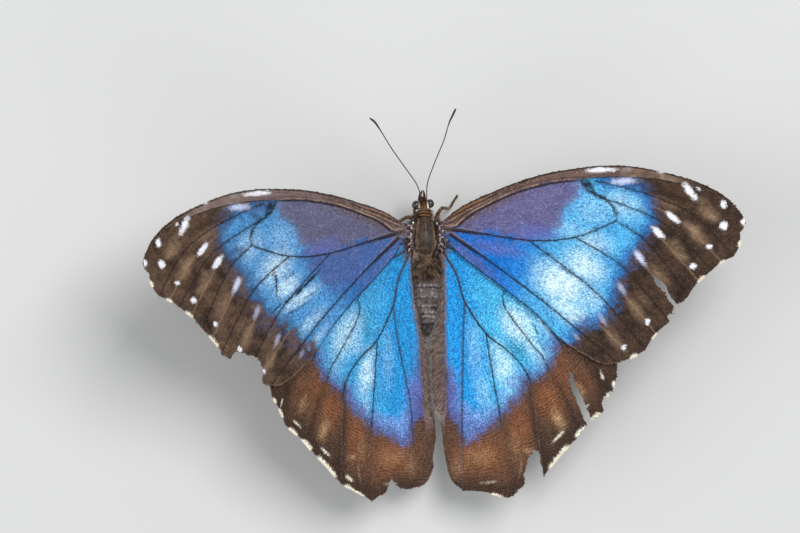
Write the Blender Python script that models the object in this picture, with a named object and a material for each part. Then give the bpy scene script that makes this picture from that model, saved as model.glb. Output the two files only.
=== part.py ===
"""Blue morpho butterfly (Morpho helenor group), life size, resting with its wings spread.

The insect stands on its four walking feet, on the plane z = 0, with its head towards +Y and
its right wings towards +X. The wings are raised in a shallow V, the left pair a little more
than the right, and they carry the tears of an old, worn adult.

Lengths below are millimetres; build_mesh() turns them into metres. The wings are laid out flat
first: s runs outwards from the wing's hinge line and t runs forwards from the middle of the
thorax. wing_point() then raises and bends the flat shape into its pose.
"""

import math

import bmesh
import bpy
from mathutils import Vector
from mathutils.geometry import delaunay_2d_cdt, intersect_point_line

MM = 0.001
SIDES = {"left": -1, "right": 1}

# Body: centres and half sizes
THORAX_CENTRE = Vector((0.25, -0.1, 9.5))
THORAX_HALF = Vector((2.5, 4.5, 3.1))
HEAD_CENTRE = Vector((-0.3, 6.5, 9.6))
HEAD_HALF = Vector((1.6, 1.7, 1.7))
HEAD_YAW = math.radians(6)
EYE_OFFSET = Vector((1.5, 0.15, 0.1))
EYE_RADIUS = 0.98
PART_GAP = 0.3
TEGULA_CENTRE = Vector((2.6, 3.6, 10.9))
TEGULA_HALF = Vector((0.5, 0.8, 0.55))

# Abdomen: distance behind the thorax centre, half width, half height, and its middle's place
# sideways and height
ABDOMEN_STATIONS = [
    (4.95, 1.5, 1.3, 0.45, 9.5), (6.0, 2.45, 2.15, 0.45, 9.4), (8.5, 2.75, 2.4, 0.45, 9.2),
    (11.5, 2.65, 2.35, 0.45, 9.0), (14.1, 2.4, 2.1, 0.5, 8.8), (16.2, 2.0, 1.75, 0.7, 8.7),
    (18.4, 1.55, 1.4, 0.8, 8.6), (20.5, 0.95, 0.9, 0.8, 8.5), (21.7, 0.4, 0.4, 0.8, 8.4),
]
ABDOMEN_SEGMENTS = 8
SEGMENT_NOTCH = 0.05

# Antennae, from the socket to the tip, and their radii
ANTENNA_PATHS = {
    "left": [(-0.95, 7.6, 11.6), (-1.9, 10.7, 13.3), (-4.8, 14.6, 15.6), (-7.8, 18.5, 17.9), (-10.5, 22.5, 20.0),
             (-11.7, 24.1, 20.8), (-12.9, 25.0, 21.5)],
    "right": [(0.3, 7.6, 11.6), (0.3, 11.2, 13.6), (1.7, 15.7, 15.9), (3.4, 20.3, 18.2), (4.3, 23.8, 19.9),
              (5.0, 25.5, 20.7), (5.7, 27.1, 21.5)],
}
ANTENNA_RADIUS = 0.25
CLUB_RADIUS = 0.36
CLUB_START = 0.8

# Legs, from the hip to the toe; the walking legs end on the floor
LEG_PATHS = {
    "foreleg_left": [(-1.0, 2.6, 6.3), (-1.9, 5.2, 6.6), (-1.35, 7.0, 7.1)],
    "foreleg_right": [(1.0, 2.6, 6.3), (1.3, 5.2, 6.6), (0.6, 7.1, 7.1)],
    "midleg_left": [(-1.3, 1.2, 6.2), (-3.2, 3.9, 8.2), (-5.9, 2.4, 2.2), (-7.3, 3.0, 0.3), (-8.5, 3.9, 0.3)],
    "midleg_right": [(1.9, 1.6, 6.2), (3.7, 5.6, 8.2), (6.1, 5.9, 2.2), (7.3, 7.5, 0.3), (8.1, 8.7, 0.3)],
    "hindleg_left": [(-1.6, -1.4, 6.0), (-4.3, -9.4, 7.8), (-7.2, -16.8, 3.2), (-8.9, -21.8, 0.3),
                     (-9.5, -24.2, 0.3)],
    "hindleg_right": [(2.0, -1.4, 6.0), (4.5, -9.4, 7.8), (7.4, -16.8, 3.2), (9.1, -21.8, 0.3),
                      (9.7, -24.2, 0.3)],
}
LEG_RADIUS = (0.42, 0.27)
FORELEG_RADIUS = (0.38, 0.3)

# Labial palps and the coiled proboscis between them
PALP_PATH = [(0.62, 7.7, 7.9), (0.56, 8.8, 8.6), (0.42, 9.6, 9.9)]
PALP_RADIUS = (0.36, 0.28)
PROBOSCIS_CENTRE = Vector((-0.45, 8.35, 7.35))
PROBOSCIS_RADIUS = 0.95
PROBOSCIS_WIDTH = 0.5

# Wing pose: hinge lines beside the thorax; dihedral in degrees at the root and at the tip, and
# more of it towards the rear; for each wing the sweep about its own base in degrees (minus is
# back) and how far the base sits outwards and forwards. WING_SCALE is each wing's span and chord
# against the tables: the left pair is a little smaller.
HINGE_X = 3.0
HINGE_Z = 11.0
WING_SPAN = 66.0
TWIST_LENGTH = 30.0
WING_POSE = {
    "right": {"root": 14.0, "tip": 14.0, "twist": 0.0, "fore": (0.0, 0.0, 0.0), "hind": (0.0, 0.0, 0.0)},
    "left": {"root": 20.6, "tip": 33.0, "twist": 3.8, "fore": (-7.25, 0.7, -0.6), "hind": (-5.2, -0.5, -1.0)},
}
WING_SCALE = {
    "right": {"fore": (1.0, 1.0), "hind": (1.0, 1.0)},
    "left": {"fore": (1.0, 0.98), "hind": (0.98, 0.97)},
}
WING_BASE = {"fore": Vector((1.2, 1.3)), "hind": Vector((0.9, -3.2))}
WING_LIFT = {"fore": 0.0, "hind": -1.15}
# The inner edge of each hindwing folds down beside the abdomen: where along s the fold starts in
# front and behind, its slope, and where along t it begins, is full, starts to end and has ended
FOLD_START = {"right": (1.1, 1.1), "left": (0.35, -0.3)}
FOLD_SHIFT = (-14.0, -20.0)
FOLD_SLOPE = 0.8
FOLD_FRONT, FOLD_FULL, FOLD_REAR, FOLD_END = -4.0, -8.0, -37.5, -40.5

# Wing plate
MEMBRANE = 0.5
ROOT_THICKENING = 0.8
ROOT_REACH = 2.6
VEIN_HEIGHT = 0.22
VEIN_HALF_WIDTH = 0.55
VEIN_STEP = 4.5
FILL_SPACING = 6.0
EDGE_CLEARANCE = 0.9

# Forewing: leading edge, vein ends along the outer margin with the depth of the scallop that
# follows each, and trailing edge
FORE_COSTA = [(1.2, 3.5), (4.7, 6.0), (9.0, 8.2), (17.8, 11.7), (26.5, 13.9), (39.5, 15.0),
              (52.5, 12.6), (61.1, 9.0), (65.6, 4.6), (66.4, 2.0)]
FORE_MARGIN = [("R5", (65.4, 0.4), -0.6), ("M1", (63.9, -4.8), 0.4), ("M2", (59.2, -7.8), 0.5),
               ("M3", (54.2, -13.2), 0.4), ("CuA1", (50.2, -18.8), 0.6), ("CuA2", (45.0, -24.8), -0.2),
               ("2A", (39.0, -27.6), -0.1)]
FORE_INNER = [(36.5, -27.9), (33.0, -26.6), (26.5, -22.4), (19.5, -15.8), (9.0, -7.9), (4.0, -3.9),
              (1.6, -0.9)]
FORE_ROOT = {"right": 0.1, "left": -0.9}
FORE_ROOT_EDGE = (2.7, 0.3)
FORE_TEARS = {
    "right": {("M3", "CuA1"): [(51.8, -15.3), (50.2, -13.0), (48.9, -10.3), (46.2, -8.3), (47.1, -10.3),
                               (48.8, -12.3), (51.0, -15.5), (51.0, -17.0), (49.6, -17.2)]},
    "left": {("CuA1", "2A"): [(48.4, -20.6), (46.7, -19.0), (44.8, -19.6), (41.2, -21.2), (40.4, -22.6),
                              (40.1, -25.0), (40.8, -26.9)]},
}
FORE_VEINS = {
    "R": [(1.2, 2.0), (3.3, 1.9), (6.8, 4.6), (15.6, 8.7), (24.3, 11.3), (39.5, 12.5), (50.0, 11.5), (62.2, 8.1)],
    "Cu": [(1.2, 1.3), (4.7, 1.1), (19.3, -1.1), (29.5, -0.5), (38.4, 3.0)],
    "cell": [(30.6, 11.8), (32.5, 9.4), (36.2, 7.4), (38.0, 5.4), (38.4, 3.0)],
    "M1": [(33.6, 11.6), (39.5, 10.3), (48.4, 7.5), (56.1, 3.4), (63.9, -4.8)],
    "M2": [(35.4, 8.0), (43.8, 4.9), (50.3, 1.3), (59.2, -7.8)],
    "M3": [(38.4, 3.0), (45.3, -1.8), (54.2, -13.2)],
    "CuA1": [(29.5, -0.5), (36.2, -4.3), (40.6, -7.6), (50.2, -18.8)],
    "CuA2": [(19.3, -1.1), (26.5, -6.3), (35.2, -13.4), (45.0, -24.8)],
    "2A": [(2.5, 0.4), (9.0, -4.1), (22.1, -13.8), (28.6, -19.1), (39.0, -27.6)],
}

# Hindwing: its leading edge lies under the forewing; its inner edge folds down beside the abdomen
HIND_COSTA = [(-0.2, -2.2), (3.0, -1.2), (12.0, -2.0), (22.0, -6.0), (31.0, -13.5), (36.6, -21.0), (38.6, -27.0)]
HIND_MARGIN = [("Rs", (38.6, -30.8), 0.3), ("M1", (35.8, -37.8), 0.4), ("M2", (29.4, -44.4), 0.3),
               ("M3", (22.8, -52.2), 0.3), ("CuA1", (15.0, -57.0), 0.5), ("CuA2", (5.2, -55.4), -0.1)]
HIND_INNER = {
    "right": [(2.4, -52.8), (1.0, -47.0), (0.3, -40.6), (-0.2, -38.8), (-1.2, -37.4), (-1.9, -34.0),
              (-2.1, -26.0), (-1.9, -22.5), (-1.2, -19.9), (-0.75, -17.0), (-0.4, -13.5), (-0.1, -8.5),
              (-0.1, -4.4)],
    "left": [(1.2, -55.0), (-0.9, -52.9), (-1.8, -51.0), (-1.8, -48.6), (-2.9, -44.5), (-2.7, -39.0),
             (-2.6, -34.0), (-2.9, -26.5), (-2.6, -22.7), (-2.0, -19.9), (-1.1, -17.5), (-0.6, -15.2),
             (-0.3, -12.5), (0.0, -9.0), (-0.1, -4.4)],
}
HIND_TEARS = {
    "right": {("Rs", "M1"): [(38.0, -32.8), (36.6, -35.1), (35.7, -34.7), (35.4, -36.4)],
              ("M1", "M2"): [(33.2, -40.1), (31.5, -36.2), (29.9, -32.8), (28.5, -28.9), (28.2, -32.0),
                             (30.0, -36.0), (32.1, -40.9)],
              ("M3", "CuA1"): [(22.1, -49.0), (21.7, -46.7), (20.7, -46.4), (19.3, -48.2), (18.4, -51.8),
                               (18.6, -53.8), (16.7, -55.8)]},
    "left": {("CuA1", "CuA2"): [(11.3, -55.6), (9.9, -53.4), (9.3, -52.4), (8.5, -53.9), (6.8, -55.1)]},
}
HIND_VEINS = {
    "M3": [(0.9, -3.7), (3.8, -8.7), (5.4, -14.1), (10.1, -21.2), (14.5, -24.6), (18.2, -28.5), (20.4, -34.5),
           (22.8, -52.2)],
    "M2": [(5.0, -4.5), (10.0, -7.5), (13.7, -12.8), (20.6, -24.2), (23.2, -27.8), (29.4, -44.4)],
    "M1": [(13.0, -8.0), (20.0, -14.5), (27.1, -24.4), (33.4, -33.4), (35.8, -37.8)],
    "Rs": [(13.0, -8.0), (24.0, -12.5), (32.5, -20.5), (38.6, -30.8)],
    "CuA1": [(10.1, -21.2), (11.7, -30.9), (14.1, -44.3), (15.0, -57.0)],
    "CuA2": [(5.4, -14.1), (5.0, -31.4), (5.2, -55.4)],
    "2A": [(1.0, -9.0), (1.1, -18.4), (0.7, -34.8), (1.6, -44.0), (3.0, -52.5)],
}

COLOURS = {
    "wing": ((0.03, 0.22, 0.62), 0.4), "thorax": ((0.05, 0.04, 0.03), 0.7), "abdomen": ((0.12, 0.09, 0.07), 0.7),
    "head": ((0.08, 0.05, 0.03), 0.7), "eye": ((0.01, 0.01, 0.01), 0.15), "leg": ((0.1, 0.06, 0.04), 0.5),
    "antenna": ((0.04, 0.02, 0.015), 0.5), "palp": ((0.25, 0.17, 0.14), 0.7),
}


# ---------------------------------------------------------------- helpers

def clear_scene():
    for obj in list(bpy.data.objects):
        bpy.data.objects.remove(obj, do_unlink=True)


def material(kind):
    """The plain finish of one kind of part, made once."""
    if kind in bpy.data.materials:
        return bpy.data.materials[kind]
    colour, roughness = COLOURS[kind]
    made = bpy.data.materials.new(kind)
    made.use_nodes = True
    shader = made.node_tree.nodes["Principled BSDF"]
    shader.inputs["Base Color"].default_value = (*colour, 1.0)
    shader.inputs["Roughness"].default_value = roughness
    shader.inputs["Metallic"].default_value = 0.0
    return made


def build_mesh(name, bm, kind, parent):
    """Close a bmesh into a named object, scaled from millimetres to metres."""
    bm.normal_update()
    bmesh.ops.recalc_face_normals(bm, faces=bm.faces)
    bmesh.ops.scale(bm, vec=(MM, MM, MM), verts=bm.verts)
    mesh = bpy.data.meshes.new(name)
    bm.to_mesh(mesh)
    bm.free()
    mesh.shade_smooth()
    mesh.set_sharp_from_angle(angle=math.radians(40))
    mesh.materials.append(material(kind))
    obj = bpy.data.objects.new(name, mesh)
    bpy.context.scene.collection.objects.link(obj)
    obj.parent = parent
    return obj


def smooth_line(points, per_span):
    """A Catmull-Rom line through the points, with per_span steps between neighbours."""
    points = [Vector(p) for p in points]
    padded = [2 * points[0] - points[1], *points, 2 * points[-1] - points[-2]]
    line = []
    for i in range(1, len(padded) - 2):
        before, start, end, after = padded[i - 1:i + 3]
        for k in range(per_span):
            u = k / per_span
            line.append(0.5 * (2 * start + (end - before) * u
                               + (2 * before - 5 * start + 4 * end - after) * u * u
                               + (3 * start - before - 3 * end + after) * u ** 3))
    line.append(points[-1])
    return line


def resampled(line, step):
    """The same line with points about one step apart."""
    lengths = [0.0]
    for a, b in zip(line, line[1:]):
        lengths.append(lengths[-1] + (b - a).length)
    count = max(1, round(lengths[-1] / step))
    points = []
    i = 0
    for k in range(count + 1):
        at = lengths[-1] * k / count
        while i < len(line) - 2 and lengths[i + 1] < at:
            i += 1
        span = lengths[i + 1] - lengths[i]
        points.append(line[i].lerp(line[i + 1], (at - lengths[i]) / span if span else 0.0))
    return points


def skin_rings(bm, rings):
    """Join rings of points into one closed tube with flat ends."""
    loops = [[bm.verts.new(p) for p in ring] for ring in rings]
    for a, b in zip(loops, loops[1:]):
        for k in range(len(a)):
            bm.faces.new((a[k - 1], a[k], b[k], b[k - 1]))
    bm.faces.new(reversed(loops[0]))
    bm.faces.new(loops[-1])


def tube(name, path, radius_at, kind, parent, sides=8, floor=False):
    """A round tapered limb; with floor set, what would sink below z = 0 is flattened on it."""
    bm = bmesh.new()
    rings = []
    for k, centre in enumerate(path):
        ahead = (path[min(k + 1, len(path) - 1)] - path[max(k - 1, 0)]).normalized()
        across = ahead.cross(Vector((0, 0, 1))).normalized()
        up = across.cross(ahead)
        radius = radius_at(k / (len(path) - 1))
        ring = []
        for j in range(sides):
            turn = math.tau * (j + 0.5) / sides
            point = centre + radius * (math.cos(turn) * across + math.sin(turn) * up)
            if floor:
                point.z = max(point.z, 0.0)
            ring.append(point)
        rings.append(ring)
    skin_rings(bm, rings)
    return build_mesh(name, bm, kind, parent)


# ---------------------------------------------------------------- body

def rounded_body(name, centre, half, kind, parent, narrowing, segments=18, rings=12):
    """An egg-shaped part, narrower towards the end that narrowing points to (+ is forwards)."""
    bm = bmesh.new()
    bmesh.ops.create_uvsphere(bm, u_segments=segments, v_segments=rings, radius=1.0)
    for v in bm.verts:
        side, fore, up = v.co.x, v.co.z, -v.co.y
        taper = 1.0 - narrowing * fore
        v.co = centre + Vector((side * half.x * taper, fore * half.y, up * half.z * taper))
    return build_mesh(name, bm, kind, parent)


def head(parent):
    """The head, with a socket cut round each eye."""
    skull = rounded_body("head", HEAD_CENTRE, HEAD_HALF, "head", parent, 0.08)
    for side, sign in SIDES.items():
        centre = eye_centre(sign)
        cutter = eye_ball(f"socket_{side}", centre, EYE_RADIUS + PART_GAP, parent)
        cutter.hide_render = True
        cutter.display_type = "WIRE"
        cut = skull.modifiers.new(f"socket_{side}", "BOOLEAN")
        cut.operation = "DIFFERENCE"
        cut.object = cutter
        eye_ball(f"eye_{side}", centre, EYE_RADIUS, parent)


def eye_centre(sign):
    offset = Vector((sign * EYE_OFFSET.x, EYE_OFFSET.y, EYE_OFFSET.z))
    turned = Vector((offset.x * math.cos(HEAD_YAW) - offset.y * math.sin(HEAD_YAW),
                     offset.x * math.sin(HEAD_YAW) + offset.y * math.cos(HEAD_YAW), offset.z))
    return HEAD_CENTRE + turned


def eye_ball(name, centre, radius, parent):
    bm = bmesh.new()
    bmesh.ops.create_uvsphere(bm, u_segments=14, v_segments=10, radius=radius)
    bmesh.ops.translate(bm, vec=centre, verts=bm.verts)
    return build_mesh(name, bm, "eye", parent)


def tegulae(parent):
    """The small plates that cover the roots of the forewings."""
    for side, sign in SIDES.items():
        centre = Vector((sign * TEGULA_CENTRE.x, TEGULA_CENTRE.y, TEGULA_CENTRE.z))
        rounded_body(f"tegula_{side}", centre, TEGULA_HALF, "thorax", parent, -0.15, segments=10, rings=8)


def palps(parent):
    for side, sign in SIDES.items():
        path = [Vector((HEAD_CENTRE.x - 0.1 + sign * x, y, z)) for x, y, z in PALP_PATH]
        wide, thin = PALP_RADIUS
        tube(f"palp_{side}", smooth_line(path, 3), lambda u: wide + (thin - wide) * u, "palp", parent)


def proboscis(parent):
    """The coiled tongue, as the disc that its turns fill."""
    bm = bmesh.new()
    rings = []
    profile = [(-0.5, 0.75), (-0.35, 1.0), (0.35, 1.0), (0.5, 0.75)]
    for offset, size in profile:
        ring = []
        for k in range(16):
            turn = math.tau * k / 16
            arm = PROBOSCIS_RADIUS * size
            ring.append(PROBOSCIS_CENTRE + Vector((offset * PROBOSCIS_WIDTH, arm * math.cos(turn),
                                                   arm * math.sin(turn))))
        rings.append(ring)
    skin_rings(bm, rings)
    build_mesh("proboscis", bm, "antenna", parent)


def abdomen(parent):
    """Eight segments, drawn in a little where each meets the next."""
    stations = smooth_line([(y, w, h) for y, w, h, x, z in ABDOMEN_STATIONS], 4)
    middles = smooth_line([(y, x, z) for y, w, h, x, z in ABDOMEN_STATIONS], 4)
    bm = bmesh.new()
    rings = []
    for k, (station, middle) in enumerate(zip(stations, middles)):
        u = k / (len(stations) - 1)
        notch = 1.0 - SEGMENT_NOTCH * (0.5 + 0.5 * math.cos(math.tau * ABDOMEN_SEGMENTS * u)) ** 2
        ring = []
        for j in range(16):
            turn = math.tau * j / 16
            ring.append(Vector((middle.y + notch * station.y * math.cos(turn),
                                -station.x, middle.z + notch * station.z * math.sin(turn))))
        rings.append(ring)
    skin_rings(bm, rings)
    build_mesh("abdomen", bm, "abdomen", parent)


def legs(parent):
    for name, path in LEG_PATHS.items():
        walking = not name.startswith("foreleg")
        thick, thin = LEG_RADIUS if walking else FORELEG_RADIUS
        line = smooth_line(path, 4)
        tube(name, line, lambda u: thick + (thin - thick) * u, "leg", parent, floor=walking)


def antennae(parent):
    def radius_at(u):
        club = max(0.0, (u - CLUB_START) / (1 - CLUB_START))
        return ANTENNA_RADIUS + (CLUB_RADIUS - ANTENNA_RADIUS) * math.sin(math.pi * min(club, 0.85))

    for side, path in ANTENNA_PATHS.items():
        tube(f"antenna_{side}", smooth_line(path, 4), radius_at, "antenna", parent, sides=6)


# ---------------------------------------------------------------- wings

def outer_margin(vein_ends, tears):
    """The outer edge from vein end to vein end: scallops, or the torn edge where one is given."""
    line = [Vector(vein_ends[0][1])]
    names = [vein for vein, end, dip in vein_ends]
    torn = {start: (stop, points) for (start, stop), points in tears.items()}
    i = 0
    while i < len(vein_ends) - 1:
        vein, start, dip = vein_ends[i]
        if vein in torn:
            stop, points = torn[vein]
            line += [Vector(p) for p in points]
            i = names.index(stop)
        else:
            i += 1
            line += scallop(Vector(start), Vector(vein_ends[i][1]), dip)
        line.append(Vector(vein_ends[i][1]))
    return line


def scallop(start, end, dip, steps=5):
    """Points between two vein ends, drawn inwards by up to dip."""
    along = end - start
    inwards = Vector((along.y, -along.x)).normalized()
    return [start.lerp(end, k / steps) + inwards * dip * math.sin(math.pi * k / steps)
            for k in range(1, steps)]


def wing_outline(wing, side):
    """The flat outline, from the root's rear corner along the trailing edge, round to the front."""
    if wing == "fore":
        front, rear = FORE_ROOT_EDGE
        costa, inner = [(FORE_ROOT[side], front), *FORE_COSTA], [*FORE_INNER, (FORE_ROOT[side], rear)]
        margin, tears = FORE_MARGIN, FORE_TEARS[side]
    else:
        costa, inner = HIND_COSTA, HIND_INNER[side]
        margin, tears = HIND_MARGIN, HIND_TEARS[side]
    leading = resampled(smooth_line(costa, 6), 3.0)
    trailing = resampled(smooth_line(inner, 6), 3.0)
    return list(reversed(leading + outer_margin(margin, tears) + trailing))


def swept(wing, side, s, t):
    """Flat place of a point once its wing is turned back about its base."""
    angle, out, forth = WING_POSE[side][wing]
    c, n = math.cos(math.radians(angle)), math.sin(math.radians(angle))
    base = WING_BASE[wing]
    span, chord = WING_SCALE[side][wing]
    ds, dt = span * (s - base.x), chord * (t - base.y)
    return base.x + out + c * ds - n * dt, base.y + forth + n * ds + c * dt


def ramp(start, end, value):
    """0 before start, 1 past end, and even in between."""
    return min(1.0, max(0.0, (value - start) / (end - start)))


def fold_depth(wing, side, s, t):
    """How far the inner edge of a hindwing hangs down beside the abdomen."""
    if wing == "fore":
        return 0.0
    share = ramp(FOLD_FRONT, FOLD_FULL, t) * (1 - ramp(FOLD_REAR, FOLD_END, t))
    front, rear = FOLD_START[side]
    return FOLD_SLOPE * share * max(0.0, front + (rear - front) * ramp(*FOLD_SHIFT, t) - s)


def raised(wing, side, s, t):
    """Where a flat point lies once the wings of a side are swept, lifted, bent and folded."""
    pose = WING_POSE[side]
    out, forth = swept(wing, side, s, t)
    angle = math.radians(pose["root"] - pose["twist"] * forth / TWIST_LENGTH)
    bend = math.radians(pose["tip"] - pose["root"]) / WING_SPAN
    if bend == 0:
        across, up = out * math.cos(angle), out * math.sin(angle)
    else:
        across = (math.sin(angle + bend * out) - math.sin(angle)) / bend
        up = (math.cos(angle) - math.cos(angle + bend * out)) / bend
    return Vector((SIDES[side] * (HINGE_X + across), forth, HINGE_Z + up - fold_depth(wing, side, s, t)))


def wing_point(wing, side, s, t, height):
    """A flat point in its pose, height above the wing's middle surface."""
    step = 0.05
    ds = raised(wing, side, s + step, t) - raised(wing, side, s - step, t)
    dt = raised(wing, side, s, t + step) - raised(wing, side, s, t - step)
    normal = SIDES[side] * ds.cross(dt).normalized()
    return raised(wing, side, s, t) + normal * (height + WING_LIFT[wing])


def inside(outline, point):
    """Whether a flat point lies within the outline."""
    within = False
    for a, b in zip(outline, outline[1:] + outline[:1]):
        if (a.y > point.y) != (b.y > point.y):
            if point.x < a.x + (b.x - a.x) * (point.y - a.y) / (b.y - a.y):
                within = not within
    return within


def line_distance(line, point):
    """Distance from a flat point to a polyline."""
    best = math.inf
    for a, b in zip(line, line[1:]):
        near, along = intersect_point_line(point, a, b)
        near = a if along < 0 else b if along > 1 else near
        best = min(best, (Vector(near[:2]) - point).length)
    return best


def beside(line, offset):
    """The line moved sideways by offset."""
    moved = []
    for k, point in enumerate(line):
        along = line[min(k + 1, len(line) - 1)] - line[max(k - 1, 0)]
        moved.append(point + Vector((-along.y, along.x)).normalized() * offset)
    return moved


def triangulated(outline, lines, fill):
    """Triangles of the outline, with edges along the lines and corners at the fill points."""
    closed = outline + outline[:1]
    points = list(outline)
    edges = []
    for line in lines:
        previous = None
        for point in line:
            if not inside(outline, point) or line_distance(closed, point) < EDGE_CLEARANCE:
                previous = None
                continue
            points.append(point)
            if previous is not None:
                edges.append((previous, len(points) - 1))
            previous = len(points) - 1
    points += [p for p in fill if inside(outline, p) and line_distance(closed, p) > FILL_SPACING / 3]
    rim = list(range(len(outline)))
    corners, _, faces, corner_sources, _, face_sources = delaunay_2d_cdt(points, edges, [rim], 0, 1e-4, True)
    place = {source: k for k, sources in enumerate(corner_sources) for source in sources}
    kept = [face for face, sources in zip(faces, face_sources) if sources]
    return corners, kept, [place[k] for k in rim]


def wing(name, kind, side, veins, parent):
    """One wing: a plate with raised veins above, plain below and thicker at its root."""
    outline = wing_outline(kind, side)
    vein_lines = [resampled(smooth_line(points, 5), VEIN_STEP) for points in veins.values()]
    lines = [moved for line in vein_lines
             for moved in (line, beside(line, VEIN_HALF_WIDTH), beside(line, -VEIN_HALF_WIDTH))]
    span = range(-1, math.ceil(WING_SPAN / FILL_SPACING) + 1)
    grid = [Vector((i * FILL_SPACING + (j % 2) * FILL_SPACING / 2, -j * FILL_SPACING * 0.87 + 15.0))
            for i in span for j in span]
    clear = [p for p in grid if min(line_distance(line, p) for line in vein_lines) > FILL_SPACING / 3]

    def half_thickness(point):
        root = (point - WING_BASE[kind]).length / ROOT_REACH
        return 0.5 * (MEMBRANE + ROOT_THICKENING * math.exp(-root * root))

    def ridge(point):
        near = min(line_distance(line, point) for line in vein_lines)
        return VEIN_HEIGHT * max(0.0, 1.0 - near / (0.9 * VEIN_HALF_WIDTH))

    bm = bmesh.new()
    rims = []
    for up, sheet_lines, fill in ((1, lines, clear), (-1, [], grid)):
        corners, faces, rim = triangulated(outline, sheet_lines, fill)
        verts = []
        for k, corner in enumerate(corners):
            height = up * half_thickness(corner)
            if up > 0 and k not in rim:
                height += ridge(corner)
            verts.append(bm.verts.new(wing_point(kind, side, corner.x, corner.y, height)))
        for face in faces:
            bm.faces.new([verts[k] for k in face])
        rims.append([verts[k] for k in rim])
    upper, lower = rims
    for k in range(len(upper)):
        bm.faces.new((upper[k - 1], upper[k], lower[k], lower[k - 1]))
    return build_mesh(name, bm, "wing", parent)


# ---------------------------------------------------------------- whole insect

def centre_on_floor(root):
    """Move the whole insect so that its box is centred on the origin."""
    bpy.context.view_layer.update()
    corners = [obj.matrix_world @ Vector(corner) for obj in root.children if not obj.hide_render
               for corner in obj.bound_box]
    for axis in (0, 1):
        values = [corner[axis] for corner in corners]
        root.location[axis] = -(min(values) + max(values)) / 2


def butterfly():
    clear_scene()
    root = bpy.data.objects.new("butterfly", None)
    bpy.context.scene.collection.objects.link(root)
    rounded_body("thorax", THORAX_CENTRE, THORAX_HALF, "thorax", root, 0.06)
    tegulae(root)
    abdomen(root)
    head(root)
    palps(root)
    proboscis(root)
    antennae(root)
    legs(root)
    for side in SIDES:
        wing(f"forewing_{side}", "fore", side, FORE_VEINS, root)
        wing(f"hindwing_{side}", "hind", side, HIND_VEINS, root)
    centre_on_floor(root)


butterfly()
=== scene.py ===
"""Looks of the blue morpho butterfly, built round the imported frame.

All shapes are worked out in millimetres in the insect's own frame (head towards +Y, right wings
towards +X, floor at z = 0) and moved onto the frame by the place of its thorax. The wings are laid
out flat first, with the same tables as the solids: s runs outwards, t runs forwards. Their
markings are functions of s and t, and the membrane and its coat of scales share them.
"""
import math

import bmesh
import bpy
import numpy as np
from mathutils import Matrix, Vector
from mathutils.geometry import delaunay_2d_cdt


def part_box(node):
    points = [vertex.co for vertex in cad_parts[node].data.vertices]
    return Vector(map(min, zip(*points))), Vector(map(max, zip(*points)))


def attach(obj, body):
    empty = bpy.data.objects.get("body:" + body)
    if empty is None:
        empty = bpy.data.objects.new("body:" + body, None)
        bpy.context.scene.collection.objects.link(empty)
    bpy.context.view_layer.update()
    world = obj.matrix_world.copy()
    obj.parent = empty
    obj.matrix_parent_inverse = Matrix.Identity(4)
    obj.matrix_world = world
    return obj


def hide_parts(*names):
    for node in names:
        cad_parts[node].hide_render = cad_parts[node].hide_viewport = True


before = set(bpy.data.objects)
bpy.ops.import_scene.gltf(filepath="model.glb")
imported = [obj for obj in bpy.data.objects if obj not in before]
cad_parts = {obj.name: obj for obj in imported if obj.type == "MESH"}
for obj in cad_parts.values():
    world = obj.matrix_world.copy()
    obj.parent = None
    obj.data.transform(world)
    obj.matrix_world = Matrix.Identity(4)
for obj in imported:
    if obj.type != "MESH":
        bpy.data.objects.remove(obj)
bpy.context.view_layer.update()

MM = 0.001
SIDES = {"left": -1, "right": 1}
UP, DOWN = 1, -1
# Cells each way in a table of noise before it repeats
NOISE_CELLS = 64
# Height of the fine grain of a surface, in millimetres
GRAIN_HEIGHT = 0.05

# ------------------------------------------------------------ sizes shared with the solids

THORAX_CENTRE = np.array((0.25, -0.1, 9.5))
THORAX_HALF = np.array((2.5, 4.5, 3.1))
HINGE_X = 3.0
HINGE_Z = 11.0
# A wing rises by its root's angle, bends to its tip's angle over the span, and twists along its depth;
# the fore and hind wing are each turned back by an angle, and moved out and forth
WING_SPAN = 66.0
TWIST_LENGTH = 30.0
WING_POSE = {
    "right": {"root": 14.0, "tip": 14.0, "twist": 0.0, "fore": (0.0, 0.0, 0.0), "hind": (0.0, 0.0, 0.0)},
    "left": {
        "root": 20.6, "tip": 33.0, "twist": 3.8,
        "fore": (-7.25, 0.7, -0.6), "hind": (-5.2, -0.5, -1.0),
    },
}
# Size of each wing outwards and forwards, the place it turns about, and how far it lies over the hinge
WING_SCALE = {
    "right": {"fore": (1.0, 1.0), "hind": (1.0, 1.0)},
    "left": {"fore": (1.0, 0.98), "hind": (0.98, 0.97)},
}
WING_BASE = {"fore": (1.2, 1.3), "hind": (0.9, -3.2)}
WING_LIFT = {"fore": 0.0, "hind": -1.15}
# The inner strip of a hindwing hangs down: where it starts in front and behind, and where that changes
FOLD_START = {"right": (1.1, 1.1), "left": (0.35, -0.3)}
FOLD_SHIFT = (-14.0, -20.0)
FOLD_SLOPE = 0.8
FOLD_FRONT, FOLD_FULL, FOLD_REAR, FOLD_END = -4.0, -8.0, -37.5, -40.5

# Leading edges of the wings, from the root
COSTA = {
    "fore": [
        (1.2, 3.5), (4.7, 6.0), (9.0, 8.2), (17.8, 11.7), (26.5, 13.9), (39.5, 15.0), (52.5, 12.6),
        (61.1, 9.0), (65.6, 4.6), (66.4, 2.0),
    ],
    "hind": [
        (-0.2, -2.2), (3.0, -1.2), (12.0, -2.0), (22.0, -6.0), (31.0, -13.5), (36.6, -21.0), (38.6, -27.0),
    ],
}
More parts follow.
